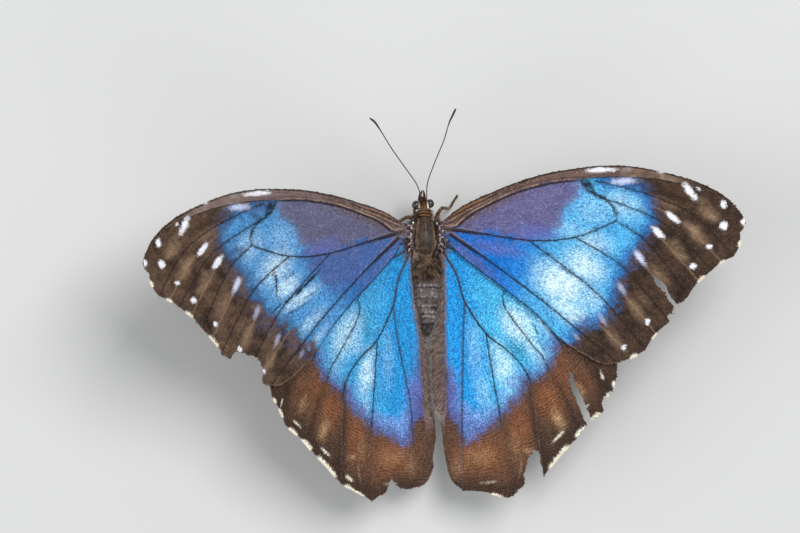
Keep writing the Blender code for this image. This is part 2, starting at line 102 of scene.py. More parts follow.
# Outer edges: the vein that ends there, its end, and how far the edge dips in after it
MARGIN = {
    "fore": [
        ("R5", (65.4, 0.4), -0.6), ("M1", (63.9, -4.8), 0.4), ("M2", (59.2, -7.8), 0.5),
        ("M3", (54.2, -13.2), 0.4), ("CuA1", (50.2, -18.8), 0.6), ("CuA2", (45.0, -24.8), -0.2),
        ("2A", (39.0, -27.6), -0.1),
    ],
    "hind": [
        ("Rs", (38.6, -30.8), 0.3), ("M1", (35.8, -37.8), 0.4), ("M2", (29.4, -44.4), 0.3),
        ("M3", (22.8, -52.2), 0.3), ("CuA1", (15.0, -57.0), 0.5), ("CuA2", (5.2, -55.4), -0.1),
    ],
}
# Trailing edges, from the last vein to the root
FORE_INNER = [
    (36.5, -27.9), (33.0, -26.6), (26.5, -22.4), (19.5, -15.8), (9.0, -7.9), (4.0, -3.9), (1.6, -0.9),
]
FORE_ROOT = {"right": 0.1, "left": -0.9}
FORE_ROOT_EDGE = (2.7, 0.3)
# Where the raised left hindwing reaches forward beneath its forewing, to close the joint
HUMERAL_LOBE = [(-0.4, -0.2), (0.8, 1.3), (3.0, 1.6), (6.8, 0.2)]
HIND_INNER = {
    "right": [
        (2.4, -52.8), (1.0, -47.0), (0.3, -40.6), (-0.2, -38.8), (-1.2, -37.4), (-1.9, -34.0),
        (-2.1, -26.0), (-1.9, -22.5), (-1.2, -19.9), (-0.75, -17.0), (-0.4, -13.5), (-0.1, -8.5),
        (-0.1, -4.4),
    ],
    "left": [
        (1.2, -55.0), (-0.9, -52.9), (-1.8, -51.0), (-1.8, -48.6), (-2.9, -44.5), (-2.7, -39.0),
        (-2.6, -34.0), (-2.9, -26.5), (-2.6, -22.7), (-2.0, -19.9), (-1.1, -17.5), (-0.6, -15.2),
        (-0.3, -12.5), (0.0, -9.0), (-0.1, -4.4),
    ],
}
# Torn stretches of the margin between two vein ends
TEARS = {
    ("fore", "right"): {
        ("M3", "CuA1"): [
            (51.8, -15.3), (50.2, -13.0), (48.9, -10.3), (46.2, -8.3), (47.1, -10.3), (48.8, -12.3),
            (51.0, -15.5), (51.0, -17.0), (49.6, -17.2),
        ],
    },
    ("fore", "left"): {
        ("CuA1", "2A"): [
            (48.4, -20.6), (46.7, -19.0), (44.8, -19.6), (41.2, -21.2), (40.4, -22.6), (40.1, -25.0),
            (40.8, -26.9),
        ],
    },
    ("hind", "right"): {
        ("Rs", "M1"): [(38.0, -32.8), (36.6, -35.1), (35.7, -34.7), (35.4, -36.4)],
        ("M1", "M2"): [
            (33.2, -40.1), (31.5, -36.2), (29.9, -32.8), (28.5, -28.9), (28.2, -32.0), (30.0, -36.0),
            (32.1, -40.9),
        ],
        ("M3", "CuA1"): [
            (22.1, -49.0), (21.7, -46.7), (20.7, -46.4), (19.3, -48.2), (18.4, -51.8), (18.6, -53.8),
            (16.7, -55.8),
        ],
    },
    ("hind", "left"): {
        ("CuA1", "CuA2"): [(11.3, -55.6), (9.9, -53.4), (9.3, -52.4), (8.5, -53.9), (6.8, -55.1)],
    },
}
# Veins: the line of each, and its radius at the root and at the end
VEINS = {
    "fore": {
        "Sc": ([
            (1.2, 2.3), (4.65, 4.35), (6.8, 5.55), (9.0, 6.6), (10.5, 7.3), (13.4, 8.7), (20.0, 11.3),
            (26.5, 12.9), (33.0, 14.1),
        ], 0.12, 0.06),
        "R": ([
            (1.2, 2.0), (3.55, 2.06), (4.65, 3.0), (6.83, 4.66), (9.0, 5.9), (15.6, 9.0), (22.2, 10.95),
            (26.5, 11.7), (30.0, 12.0), (39.5, 12.5), (50.0, 11.5), (62.2, 8.1),
        ], 0.15, 0.07),
        "Cu": ([(1.2, 1.3), (4.7, 1.1), (19.3, -1.1), (29.5, -0.5), (38.4, 3.0)], 0.21, 0.11),
        "cell": ([(30.6, 11.8), (32.5, 9.4), (36.2, 7.4), (38.0, 5.4), (38.4, 3.0)], 0.12, 0.12),
        "M1": ([(33.6, 11.6), (39.5, 10.3), (48.4, 7.5), (56.1, 3.4), (63.9, -4.8)], 0.11, 0.06),
        "M2": ([(35.4, 8.0), (43.8, 4.9), (50.3, 1.3), (59.2, -7.8)], 0.11, 0.06),
        "M3": ([(38.4, 3.0), (45.3, -1.8), (54.2, -13.2)], 0.11, 0.06),
        "CuA1": ([(29.5, -0.5), (36.2, -4.3), (40.6, -7.6), (50.2, -18.8)], 0.12, 0.06),
        "CuA2": ([(19.3, -1.1), (26.5, -6.3), (35.2, -13.4), (45.0, -24.8)], 0.12, 0.06),
        "2A": ([(2.5, 0.4), (9.0, -4.1), (22.1, -13.8), (28.6, -19.1), (39.0, -27.6)], 0.2, 0.09),
    },
    "hind": {
        "M3": ([
            (0.9, -3.7), (3.8, -8.7), (5.4, -14.1), (10.1, -21.2), (14.5, -24.6), (18.2, -28.5),
            (20.4, -34.5), (22.8, -52.2),
        ], 0.27, 0.08),
        "M2": ([
            (14.0, -11.9), (13.7, -14.1), (15.2, -17.2), (20.6, -24.2), (23.2, -27.8), (29.4, -44.4),
        ], 0.11, 0.06),
        "M1": ([(13.0, -8.0), (20.0, -14.5), (27.1, -24.4), (33.4, -33.4), (35.8, -37.8)], 0.12, 0.06),
        "Rs": ([
            (1.6, -2.6), (7.0, -4.8), (13.0, -8.0), (24.0, -12.5), (32.5, -20.5), (38.6, -30.8),
        ], 0.18, 0.07),
        "CuA1": ([(10.1, -21.2), (11.7, -30.9), (14.1, -44.3), (15.0, -57.0)], 0.14, 0.08),
    },
}
ANAL_VEIN = {
    "right": ([(5.4, -14.1), (5.1, -24.0), (4.9, -38.0), (5.2, -55.4)], 0.16, 0.07),
    "left": ([
        (5.4, -14.1), (4.9, -22.0), (3.7, -31.0), (3.0, -38.0), (3.3, -47.0), (4.6, -55.0),
    ], 0.16, 0.07),
}

# ------------------------------------------------------------ markings, on the flat wings

# Outer edge of the blue, from the leading edge to the trailing edge
BLUE_EDGE = {
    ("fore", "right"): [
        (36.0, 12.2), (43.5, 10.6), (45.6, 8.0), (46.4, 2.8), (43.8, -0.5), (43.4, -3.3), (39.9, -7.1),
        (37.8, -13.6), (36.2, -17.3), (29.7, -20.1), (28.0, -23.8),
    ],
    ("fore", "left"): [
        (35.0, 11.8), (42.0, 11.4), (45.6, 7.4), (46.1, 4.4), (43.6, 1.5), (42.6, -4.0), (41.4, -5.9),
        (39.3, -8.7), (38.4, -13.6), (34.2, -15.8), (31.6, -18.2), (28.7, -21.6),
    ],
    ("hind", "right"): [
        (26.5, -21.0), (25.6, -24.6), (22.8, -29.0), (18.6, -31.6), (17.0, -34.5), (13.4, -38.8),
        (10.1, -41.6), (7.6, -44.4), (5.8, -44.2), (4.4, -39.8), (1.6, -36.5), (1.0, -30.0),
    ],
    ("hind", "left"): [
        (27.4, -21.5), (25.8, -25.2), (23.5, -28.3), (19.5, -31.6), (16.9, -36.3), (13.9, -39.6),
        (9.2, -43.0), (6.8, -44.9), (4.2, -44.2), (2.9, -40.7), (1.2, -38.7), (0.0, -35.6),
    ],
}
# How that edge closes round the wing's root
BLUE_BACK = {
    "fore": [(20.0, -20.0), (0.0, -6.0), (0.0, 2.2), (6.8, 6.2), (15.6, 10.4), (24.3, 12.6), (31.0, 13.0)],
    "hind": [(-4.0, -30.0), (-4.0, 1.0), (20.0, 1.0), (29.0, -12.0)],
}
# Dull violet field over the forewing's cell
CELL_FIELD = [
    (2.0, 1.3), (19.3, -0.9), (23.9, -0.3), (26.5, 4.3), (29.2, 8.4), (30.6, 12.6), (24.3, 12.6),
    (15.6, 10.4), (6.8, 6.2),
]
SLATE_FIELD = [(2.0, 0.6), (19.3, -1.3), (25.0, -1.6), (23.6, -4.8), (19.5, -8.5), (13.0, -6.6)]
SLATE_STRIP = [(3.0, -2.4), (9.0, -6.4), (16.0, -12.2), (19.5, -15.1)]

# Soft marks: s, t, half length, half width, degrees, strength
WHITE_SPOTS = {
    ("fore", "right"): [
        (61.6, 6.4, 0.9, 0.65, 100, 1.0), (61.6, 1.9, 0.8, 0.72, 60, 1.0),
        (58.5, -2.5, 0.65, 0.53, 0, 1.0), (54.9, -6.8, 0.72, 0.62, 20, 1.0),
        (45.2, -18.6, 0.6, 0.47, 60, 0.9), (40.0, -24.1, 0.65, 0.47, 50, 0.95),
        (54.3, 9.2, 1.9, 0.72, -52, 1.0), (56.1, 9.8, 0.6, 0.3, -30, 0.8),
        (50.6, 3.8, 1.6, 0.6, -40, 0.95), (47.4, 0.5, 1.7, 0.6, -42, 0.95), (35.2, 13.9, 3.0, 0.5, 2, 0.9),
        (48.0, 13.6, 0.8, 0.35, -10, 0.7), (66.0, 2.7, 0.6, 0.9, 0, 1.0),
        (52.8, -16.6, 0.5, 0.42, 60, 0.8),
    ],
    ("hind", "right"): [
        (35.1, -30.0, 0.9, 0.3, -70, 0.7), (31.6, -37.1, 1.1, 0.28, 42, 0.7),
        (25.7, -43.4, 1.5, 0.3, 45, 0.8), (20.4, -50.6, 1.1, 0.35, 35, 0.7),
        (10.8, -53.2, 1.4, 0.25, 5, 0.3),
    ],
}
WHITE_SPOTS["fore", "left"] = [*WHITE_SPOTS["fore", "right"], (50.4, -12.4, 0.55, 0.42, 50, 0.9)]
WHITE_SPOTS["hind", "left"] = [
    (36.0, -32.4, 0.9, 0.25, -70, 0.6), (32.5, -37.5, 1.0, 0.3, 42, 0.8),
    (25.9, -44.4, 1.4, 0.3, 45, 0.85), (20.5, -50.8, 1.1, 0.35, 35, 0.8), (9.6, -53.4, 1.4, 0.25, 5, 0.3),
]
# Pale blue or lilac patches at the outer edge of the blue
LILAC_SPOTS = [
    (43.4, -4.8, 1.6, 0.55, -55, 0.95), (39.6, -11.5, 1.3, 0.5, -55, 0.5),
    (35.4, -18.0, 1.3, 0.45, -55, 0.4), (29.8, -21.8, 1.1, 0.4, -50, 0.3), (40.0, 11.5, 2.5, 0.65, 4, 0.9),
]
TAN_SPOTS = {
    "fore": [
        (58.6, 4.4, 2.2, 1.2, -38, 0.9), (55.3, 0.6, 2.8, 1.1, -42, 0.85),
        (51.8, -3.4, 2.8, 1.1, -48, 0.75), (47.6, -8.6, 2.6, 1.0, -52, 0.55),
        (42.4, -15.6, 2.8, 1.1, -52, 0.7), (37.6, -21.9, 2.6, 1.1, -50, 0.6),
        (44.4, -13.6, 2.2, 0.9, -52, 0.55), (56.5, 7.4, 2.0, 0.6, -30, 0.5),
        (43.0, 13.7, 6.0, 0.6, -3, 0.75), (48.6, 7.0, 2.8, 0.8, -25, 0.4),
    ],
    "hind": [
        (30.4, -33.2, 1.7, 0.9, -60, 0.6), (25.8, -39.6, 2.2, 1.1, -65, 0.9),
        (8.8, -47.6, 3.0, 1.6, 0, 0.35), (16.6, -45.6, 2.6, 1.0, -85, 0.3),
        (4.0, -50.0, 2.4, 1.6, -80, 0.3), (19.0, -46.3, 1.2, 0.6, 0, 0.6),
        (17.7, -50.0, 2.0, 0.3, 80, 0.5),
    ],
}
RUST_SPOTS = [
    (26.3, -29.5, 5.0, 3.0, -60, 0.6), (23.6, -35.2, 4.0, 2.6, -70, 0.85),
    (17.4, -41.5, 5.4, 2.2, -85, 0.85), (9.0, -47.0, 5.6, 4.6, 0, 0.8), (31.5, -30.5, 4.0, 1.4, -60, 0.4),
    (12.5, -50.5, 3.0, 2.5, 0, 0.35),
]
DARK_SPOTS = {
    "fore": [
        (32.2, 10.6, 1.6, 0.8, -50, 0.9), (33.6, 9.0, 1.4, 0.42, -45, 0.85),
        (36.0, 7.6, 1.6, 0.36, -35, 0.75), (38.0, 5.5, 1.4, 0.32, -65, 0.75),
        (44.0, -12.5, 3.0, 0.9, -50, 0.35), (49.0, 8.8, 5.0, 0.9, -18, 0.45),
    ],
    "hind": [
        (20.3, -38.5, 8.0, 0.5, -84, 0.5), (22.2, -46.0, 5.0, 1.2, -80, 0.5),
        (27.6, -36.0, 7.0, 0.6, -66, 0.5), (33.5, -29.0, 5.0, 1.3, -60, 0.5),
        (2.2, -49.0, 4.0, 0.8, -80, 0.3),
    ],
}
# Pale patches in the blue: partly the wing's own lighter blue, partly painted highlight where the scales
# catch the light
PALE_BLUE_AND_HIGHLIGHT = {
    ("fore", "right"): [
        (26.5, -10.5, 5.2, 3.4, -35, 1.0), (31.5, -6.5, 4.0, 2.6, -35, 0.85),
        (33.5, -1.5, 3.5, 2.0, -20, 0.5), (28.0, -15.8, 4.6, 2.2, -38, 0.75),
        (33.0, -13.5, 3.0, 2.0, -50, 0.45), (33.5, 5.5, 4.0, 3.0, 0, 0.22),
        (40.0, 6.6, 3.8, 2.6, -15, 0.4), (28.0, 1.0, 2.5, 2.0, 0, 0.25),
    ],
    ("fore", "left"): [
        (33.0, -2.3, 4.2, 2.6, -35, 0.7), (31.0, -6.8, 3.0, 1.6, -30, 0.8), (30.5, 3.5, 3.2, 3.0, 0, 0.2),
        (28.0, -9.8, 4.6, 1.1, -24, 0.65), (26.0, -15.0, 3.6, 1.2, -32, 0.4),
        (26.0, -19.6, 4.0, 0.7, -40, 0.5), (38.6, 3.0, 3.4, 2.4, -30, 0.36),
    ],
    ("hind", "right"): [
        (17.3, -19.5, 4.2, 2.7, -50, 1.0), (13.8, -28.0, 4.6, 2.1, -72, 0.75),
        (7.6, -25.0, 6.0, 1.5, -85, 0.22), (15.2, -34.5, 2.2, 1.4, -50, 0.3),
        (20.4, -24.2, 3.8, 1.8, -55, 0.65), (9.4, -33.5, 4.2, 1.6, -80, 0.25),
        (22.0, -19.5, 3.0, 1.0, -45, 0.45),
    ],
    ("hind", "left"): [
        (17.6, -19.3, 4.8, 2.8, -52, 0.75), (13.4, -28.3, 4.6, 1.6, -74, 0.85),
        (20.3, -24.5, 3.4, 1.5, -60, 0.35), (15.5, -22.5, 2.0, 1.2, 0, 0.4),
        (14.4, -35.2, 2.0, 1.1, -70, 0.4), (7.8, -26.0, 5.0, 1.4, -85, 0.2),
    ],
}
# Worn streaks where the blue scales are rubbed off: s, t, half length, half width, degrees, strength
SCRATCHES = {
    ("fore", "right"): [
        (34.0, 0.8, 1.6, 0.12, -52, 0.7), (27.5, -7.6, 1.5, 0.16, -35, 0.6),
        (23.5, -4.0, 1.1, 0.14, 10, 0.5),
    ],
    ("fore", "left"): [
        (33.5, -5.8, 3.0, 0.2, -84, 1.0), (25.0, -6.2, 2.6, 0.32, -34, 0.95),
        (28.0, -8.2, 1.6, 0.3, -38, 0.95), (31.2, -9.8, 1.8, 0.24, -30, 0.9),
        (34.4, -11.2, 1.5, 0.22, -30, 0.8), (33.8, -3.6, 0.9, 0.25, -35, 0.8),
        (30.5, -12.4, 1.8, 0.16, -25, 0.7), (27.4, -11.3, 2.4, 0.14, -25, 0.6),
        (25.0, -9.2, 2.4, 0.14, -25, 0.6), (29.6, -4.6, 1.4, 0.16, -20, 0.6),
    ],
    ("hind", "right"): [
        (20.8, -20.4, 1.6, 0.2, -68, 0.9), (22.0, -23.6, 1.7, 0.18, -66, 0.7),
        (33.6, -30.8, 1.1, 0.14, -70, 0.5),
    ],
    ("hind", "left"): [(12.4, -19.6, 1.6, 0.25, -88, 0.4)],
}
TEAL_PATCH = {"right": [(16.8, -24.2, 2.4, 1.3, -30, 0.75)], "left": [(12.2, -17.5, 2.6, 1.4, -75, 0.4)]}
MAUVE_SPOTS = [(12.5, -2.9, 5.5, 1.2, -13, 0.6)]
# Where the margin and its fringe are white: s, t, reach
WHITE_FRINGE = {
    "fore": [
        (66.2, 2.7, 0.8), (65.3, -1.9, 0.7), (61.5, -6.2, 0.9), (57.3, -9.95, 1.2), (52.0, -16.2, 1.6),
        (47.2, -22.0, 1.0), (42.5, -26.4, 1.0), (39.9, -27.7, 0.6),
    ],
    "hind": [
        (38.4, -32.0, 1.0), (37.2, -35.0, 1.3), (34.3, -39.6, 1.5), (31.2, -42.8, 1.8), (26.4, -48.2, 3.2),
        (19.5, -54.4, 2.8), (12.4, -56.9, 1.5), (9.2, -56.3, 0.8), (2.0, -53.2, 1.0), (-0.8, -52.4, 1.2),
    ],
}
MARGIN_ENDS = {wing: np.array([end for name, end, dip in rows]) for wing, rows in MARGIN.items()}


def linear(red, green, blue):
    """A display colour (0 to 255) as linear light."""
    value = np.array((red, green, blue)) / 255.0
    return np.where(value <= 0.04045, value / 12.92, ((value + 0.055) / 1.055) ** 2.4)


def inks(table):
    """A table of display colours as linear light."""
    return {name: linear(*shade) for name, shade in table.items()}


INK = inks({
    # Wings
    "deep": (34, 25, 22), "tan": (160, 132, 106), "bright tan": (186, 148, 108), "rust": (136, 86, 56),
    "border": (88, 64, 50), "costa": (108, 84, 78), "orange": (150, 98, 60), "white": (236, 236, 242),
    "cream": (236, 228, 208), "lilac": (208, 214, 240), "pale": (222, 244, 250), "dusk": (26, 92, 150),
    "violet": (112, 112, 182), "dim violet": (80, 92, 138), "mauve": (112, 108, 172),
    "cell blue": (92, 108, 180), "cell brown": (106, 90, 96), "edge blue": (58, 104, 204),
    "haze": (130, 152, 210), "teal": (26, 120, 140), "fold": (124, 102, 97), "root": (108, 92, 94),
    # Ridge: a painted highlight along the tops of veins
    "frost": (150, 138, 140), "vein": (30, 23, 24), "ridge": (164, 134, 112), "dull vein": (72, 60, 62),
    "brown vein": (46, 33, 28), "hind vein": (112, 90, 84),
    # Their under side
    "bronze": (112, 86, 60), "umber": (70, 50, 38), "silver": (190, 178, 160), "ochre": (186, 128, 58),
    "black": (18, 14, 14), "pupil red": (120, 60, 50), "pupil white": (222, 226, 236),
    # Thorax
    "flank": (78, 60, 50), "flank pale": (186, 160, 138), "flank dark": (34, 26, 24),
    # The wing joints' lighter and darker inks are painted highlight and painted shade
    "shoulder": (44, 33, 29), "joint": (80, 62, 60), "joint highlight": (160, 142, 140),
    "joint shade": (16, 12, 12), "joint spot": (226, 220, 212), "shield": (88, 70, 54),
    # The shield's sheen ink is a painted highlight
    "shield dark": (52, 40, 33), "shield highlight": (78, 84, 86), "shield rim": (138, 112, 88),
    "shield line": (126, 118, 110), "shield notch": (26, 22, 22), "shield gap": (24, 18, 18),
    "plate": (62, 48, 40), "plate rim": (168, 140, 112), "plate gap": (26, 20, 18),
    # Head and collar
    "neck": (52, 30, 22), "collar": (152, 106, 62), "collar gap": (18, 11, 9), "crown": (92, 52, 32),
    "crown dark": (46, 26, 18), "crown front": (60, 34, 24), "crown dot": (206, 160, 104),
    "eye rim": (232, 220, 198), "facet": (38, 30, 26), "facet gap": (10, 8, 8),
    # Abdomen and hair
    "ring": (104, 94, 92), "ring dark": (66, 54, 50), "ring pale": (164, 156, 156),
    # The ring's pale edge ink is a painted highlight
    "ring highlight": (146, 136, 136), "ring gap": (18, 14, 15), "tail": (34, 28, 28), "belly": (104, 80, 66),
    "hair": (92, 70, 57), "hair dark": (30, 20, 17), "hair pale": (142, 114, 94),
    "long hair pale": (196, 166, 138), "long hair dark": (22, 16, 15),
    # Feelers, palps, tongue and legs
    "feeler": (46, 34, 28), "feeler ring": (96, 74, 56), "feeler tip": (120, 70, 36),
    "palp": (96, 62, 48), "palp tip": (48, 32, 26), "brush": (58, 36, 28), "brush pale": (206, 176, 168),
    "tongue": (84, 52, 34), "leg": (128, 98, 60), "leg spot": (38, 26, 20), "thigh": (52, 38, 30),
    "foot": (50, 36, 28), "claw": (34, 24, 20),
})
# Inks that differ between the two sides, as the light catches the left wings less
SIDE_INK = {
    "right": inks({
        "brown": (76, 57, 45), "fore sky": (88, 178, 228), "fore azure": (22, 116, 205),
        "hind sky": (80, 184, 230), "hind azure": (42, 153, 221), "slate": (86, 98, 158),
        "cell": (108, 104, 148),
    }),
    "left": inks({
        "brown": (100, 78, 63), "fore sky": (92, 158, 210), "fore azure": (50, 104, 168),
        "hind sky": (76, 168, 216), "hind azure": (46, 152, 214), "slate": (84, 106, 160),
        "cell": (106, 104, 132),
    }),
}


# ------------------------------------------------------------ helpers: numbers

def smoothstep(low, high, x):
    """0 on the far side of low and 1 past high, with a smooth step between; low may be the larger."""
    u = np.clip((x - low) / (high - low), 0.0, 1.0)
    return u * u * (3 - 2 * u)


def bell(distance, width):
    """1 at no distance, fading away within about twice the width."""
    return np.exp(-(distance / width) ** 2)


def noise(x, y, size, seed):
    """Smooth value noise from -1 to 1 with blobs about size across."""
    table = np.random.default_rng(seed).random((NOISE_CELLS, NOISE_CELLS)) * 2 - 1
    x, y = np.asarray(x) / size, np.asarray(y) / size
    i, j = np.floor(x).astype(int), np.floor(y).astype(int)
    u, v = x - i, y - j
    u, v = u * u * (3 - 2 * u), v * v * (3 - 2 * v)
    i0, i1, j0, j1 = (k % NOISE_CELLS for k in (i, i + 1, j, j + 1))
    low = table[i0, j0] * (1 - u) + table[i1, j0] * u
    high = table[i0, j1] * (1 - u) + table[i1, j1] * u
    return low * (1 - v) + high * v


def smooth_line(points, per_span):
    """A Catmull-Rom line through the points, with per_span steps between neighbours."""
    p = np.array(points, float)
    p = np.vstack([2 * p[0] - p[1], p, 2 * p[-1] - p[-2]])
    u = (np.arange(per_span) / per_span)[:, None]
    spans = []
    for a, b, c, d in zip(p, p[1:], p[2:], p[3:]):
        square, cube = 2 * a - 5 * b + 4 * c - d, 3 * b - a - 3 * c + d
        spans.append(0.5 * (2 * b + (c - a) * u + square * u * u + cube * u ** 3))
    return np.vstack([*spans, p[-2:-1]])


def resampled(line, step):
    """The same line with points about one step apart."""
    line = np.array(line, float)
    lengths = np.concatenate([[0.0], np.cumsum(np.linalg.norm(np.diff(line, axis=0), axis=1))])
    at = np.linspace(0.0, lengths[-1], max(1, round(lengths[-1] / step)) + 1)
    return np.stack([np.interp(at, lengths, line[:, k]) for k in range(line.shape[1])], axis=1)


def line_distance(s, t, line):
    """Distance from flat points to a polyline."""
    best = np.full(np.shape(s), np.inf)
    for (ax, ay), (bx, by) in zip(line[:-1], line[1:]):
        dx, dy = bx - ax, by - ay
        u = np.clip(((s - ax) * dx + (t - ay) * dy) / (dx * dx + dy * dy + 1e-12), 0.0, 1.0)
        best = np.minimum(best, np.hypot(s - ax - u * dx, t - ay - u * dy))
    return best


def inside(s, t, outline):
    """Whether flat points lie within the outline."""
    within = np.zeros(np.shape(s), bool)
    for (ax, ay), (bx, by) in zip(outline, np.roll(outline, -1, axis=0)):
        if ay != by:
            within ^= ((ay > t) != (by > t)) & (s < ax + (bx - ax) * (t - ay) / (by - ay))
    return within


def depth_within(s, t, edge, back=()):
    """Distance from the edge line, positive within the field that edge and back enclose."""
    return np.where(inside(s, t, np.array([*edge, *back])), 1, -1) * line_distance(s, t, edge)


def marks(s, t, rows, soft=0.35, rough=0.0):
    """How strongly soft oval marks cover flat points, 0 to 1; rough frays their edges."""
    cover = np.zeros(np.shape(s))
    for at_s, at_t, length, width, degrees, strength in rows:
        c, n = math.cos(math.radians(degrees)), math.sin(math.radians(degrees))
        along = ((s - at_s) * c + (t - at_t) * n) / length
        across = ((t - at_t) * c - (s - at_s) * n) / width
        reach = np.hypot(along, across) + rough
        cover = np.maximum(cover, strength * smoothstep(1 + soft, 1 - soft, reach))
    return cover


def speckled(cover, grain, width=0.2):
    """A soft cover broken into specks: its grain decides how soon each scale is covered."""
    turn = width + grain * (1 - 2 * width)
    return smoothstep(turn - width, turn + width, cover)


def flecks(grain, share, soft=0.05):
    """A share of the scales, picked by their grain."""
    return smoothstep(share + soft, share - soft, grain)


def line_side(s, t, line):
    """Distance from a line that runs outwards, positive ahead of it."""
    height = np.interp(s, line[:, 0], line[:, 1])
    return np.where(t > height, 1, -1) * line_distance(s, t, line)


def band(distance, middle, half, soft=0.12):
    """A stripe at the given distance."""
    return smoothstep(half + soft, half - soft, np.abs(distance - middle))


def paint(colour, ink, cover):
    """The colour with an ink laid over it, not at all where cover is 0 and fully where it is 1."""
    cover = np.clip(cover, 0.0, 1.0)[..., None]
    return colour * (1 - cover) + ink * cover


def painted(colour, *layers):
    """The colour with layers over it in their order, each an ink, by name or worked out, and its cover."""
    for ink, cover in layers:
        colour = paint(colour, INK[ink] if isinstance(ink, str) else ink, cover)
    return colour


# ------------------------------------------------------------ helpers: pieces

low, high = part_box("thorax")
OFFSET = (np.array(low) + np.array(high)) / 2 / MM - THORAX_CENTRE


def piece(name, points, faces, material, colours=None, gloss=None, bake_uv=None, smooth=True):
    """A triangle mesh from points in millimetres, riding on the insect's one body."""
    mesh = bpy.data.meshes.new(name)
    mesh.vertices.add(len(points))
    mesh.vertices.foreach_set("co", ((np.asarray(points) + OFFSET) * MM).astype(np.float32).ravel())
    faces = np.asarray(faces, np.int32)
    mesh.loops.add(faces.size)
    mesh.loops.foreach_set("vertex_index", faces.ravel())
    mesh.polygons.add(len(faces))
    mesh.polygons.foreach_set("loop_start", np.arange(0, faces.size, 3, dtype=np.int32))
    mesh.update(calc_edges=True)
    if smooth:
        mesh.shade_smooth()
    else:
        mesh.shade_flat()
    if colours is not None:
        markings = mesh.color_attributes.new("markings", "FLOAT_COLOR", "POINT")
        markings.data.foreach_set("color", np.c_[colours, np.ones(len(colours))].astype(np.float32).ravel())
        shine = mesh.attributes.new("gloss", "FLOAT", "POINT")
        gloss = np.zeros(len(points)) if gloss is None else gloss
        shine.data.foreach_set("value", np.asarray(gloss, np.float32))
    if bake_uv is not None:
        layer = mesh.uv_layers.new(name="OFBake")
        layer.data.foreach_set("uv", bake_uv[faces.ravel()].astype(np.float32).ravel())
    mesh.materials.append(material)
    obj = bpy.data.objects.new(name, mesh)
    bpy.context.scene.collection.objects.link(obj)
    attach(obj, "root")
    return obj


def new_material(name):
    """A new material: (it, its nodes, its links, its shader)."""
    made = bpy.data.materials.new(name)
    made.use_nodes = True
    nodes = made.node_tree.nodes
    return made, nodes, made.node_tree.links, nodes["Principled BSDF"]


def surface_material(name, roughness, grain_size, grain_depth, bump, gloss_share=0.0, specular=0.25):
    """Markings from the mesh, broken up by fine grain in colour, roughness and height."""
    made, nodes, links, shader = new_material(name)
    markings = nodes.new("ShaderNodeAttribute")
    markings.attribute_name = "markings"
    place = nodes.new("ShaderNodeTexCoord")
    grain = nodes.new("ShaderNodeTexNoise")
    grain.inputs["Scale"].default_value = 1.0 / (grain_size * MM)
    grain.inputs["Detail"].default_value = 3.0
    links.new(place.outputs["Object"], grain.inputs["Vector"])
    shade = nodes.new("ShaderNodeMapRange")
    shade.inputs["From Min"].default_value = 0.3
    shade.inputs["From Max"].default_value = 0.7
    shade.inputs["To Min"].default_value = 1.0 - grain_depth
    shade.inputs["To Max"].default_value = 1.0 + grain_depth
    links.new(grain.outputs["Fac"], shade.inputs["Value"])
    tint = nodes.new("ShaderNodeVectorMath")
    tint.operation = "SCALE"
    links.new(markings.outputs["Color"], tint.inputs[0])
    links.new(shade.outputs["Result"], tint.inputs["Scale"])
    links.new(tint.outputs["Vector"], shader.inputs["Base Color"])
    raise_grain = nodes.new("ShaderNodeBump")
    raise_grain.inputs["Strength"].default_value = bump
    raise_grain.inputs["Distance"].default_value = GRAIN_HEIGHT * MM
    links.new(grain.outputs["Fac"], raise_grain.inputs["Height"])
    links.new(raise_grain.outputs["Normal"], shader.inputs["Normal"])
    if gloss_share:
        gloss = nodes.new("ShaderNodeAttribute")
        gloss.attribute_name = "gloss"
        share = nodes.new("ShaderNodeMath")
        share.operation = "MULTIPLY"
        share.inputs[1].default_value = gloss_share
        links.new(gloss.outputs["Fac"], share.inputs[0])
        links.new(share.outputs["Value"], shader.inputs["Metallic"])
    shader.inputs["Roughness"].default_value = roughness
    shader.inputs["Specular IOR Level"].default_value = specular
    return made


# ------------------------------------------------------------ wing pose

def swept(wing, side, s, t):
    """Flat place of points once their wing is turned back about its base."""
    angle, out, forth = WING_POSE[side][wing]
    c, n = math.cos(math.radians(angle)), math.sin(math.radians(angle))
    base_s, base_t = WING_BASE[wing]
    span, chord = WING_SCALE[side][wing]
    ds, dt = span * (s - base_s), chord * (t - base_t)
    return base_s + out + c * ds - n * dt, base_t + forth + n * ds + c * dt


def ramp(start, end, value):
    """0 before start, 1 past end, and even in between."""
    return np.clip((value - start) / (end - start), 0.0, 1.0)


def directions(line):
    """The unit direction of a line at each of its points."""
    ahead = np.gradient(line, axis=0)
    return ahead / np.linalg.norm(ahead, axis=1, keepdims=True)


def fold_line(side, t):
    """Where the inner edge of a hindwing starts to hang down."""
    front, rear = FOLD_START[side]
    return front + (rear - front) * ramp(*FOLD_SHIFT, t)


def inner_edge(side, t):
    """Where the inner edge of a hindwing runs."""
    inner = np.array(HIND_INNER[side])
    return np.interp(t, inner[:, 1], inner[:, 0])


def fold_depth(wing, side, s, t):
    """How far the inner edge of a hindwing hangs down beside the abdomen."""
    if wing == "fore":
        return 0.0
    share = ramp(FOLD_FRONT, FOLD_FULL, t) * (1 - ramp(FOLD_REAR, FOLD_END, t))
    return FOLD_SLOPE * share * np.maximum(0.0, fold_line(side, t) - s)


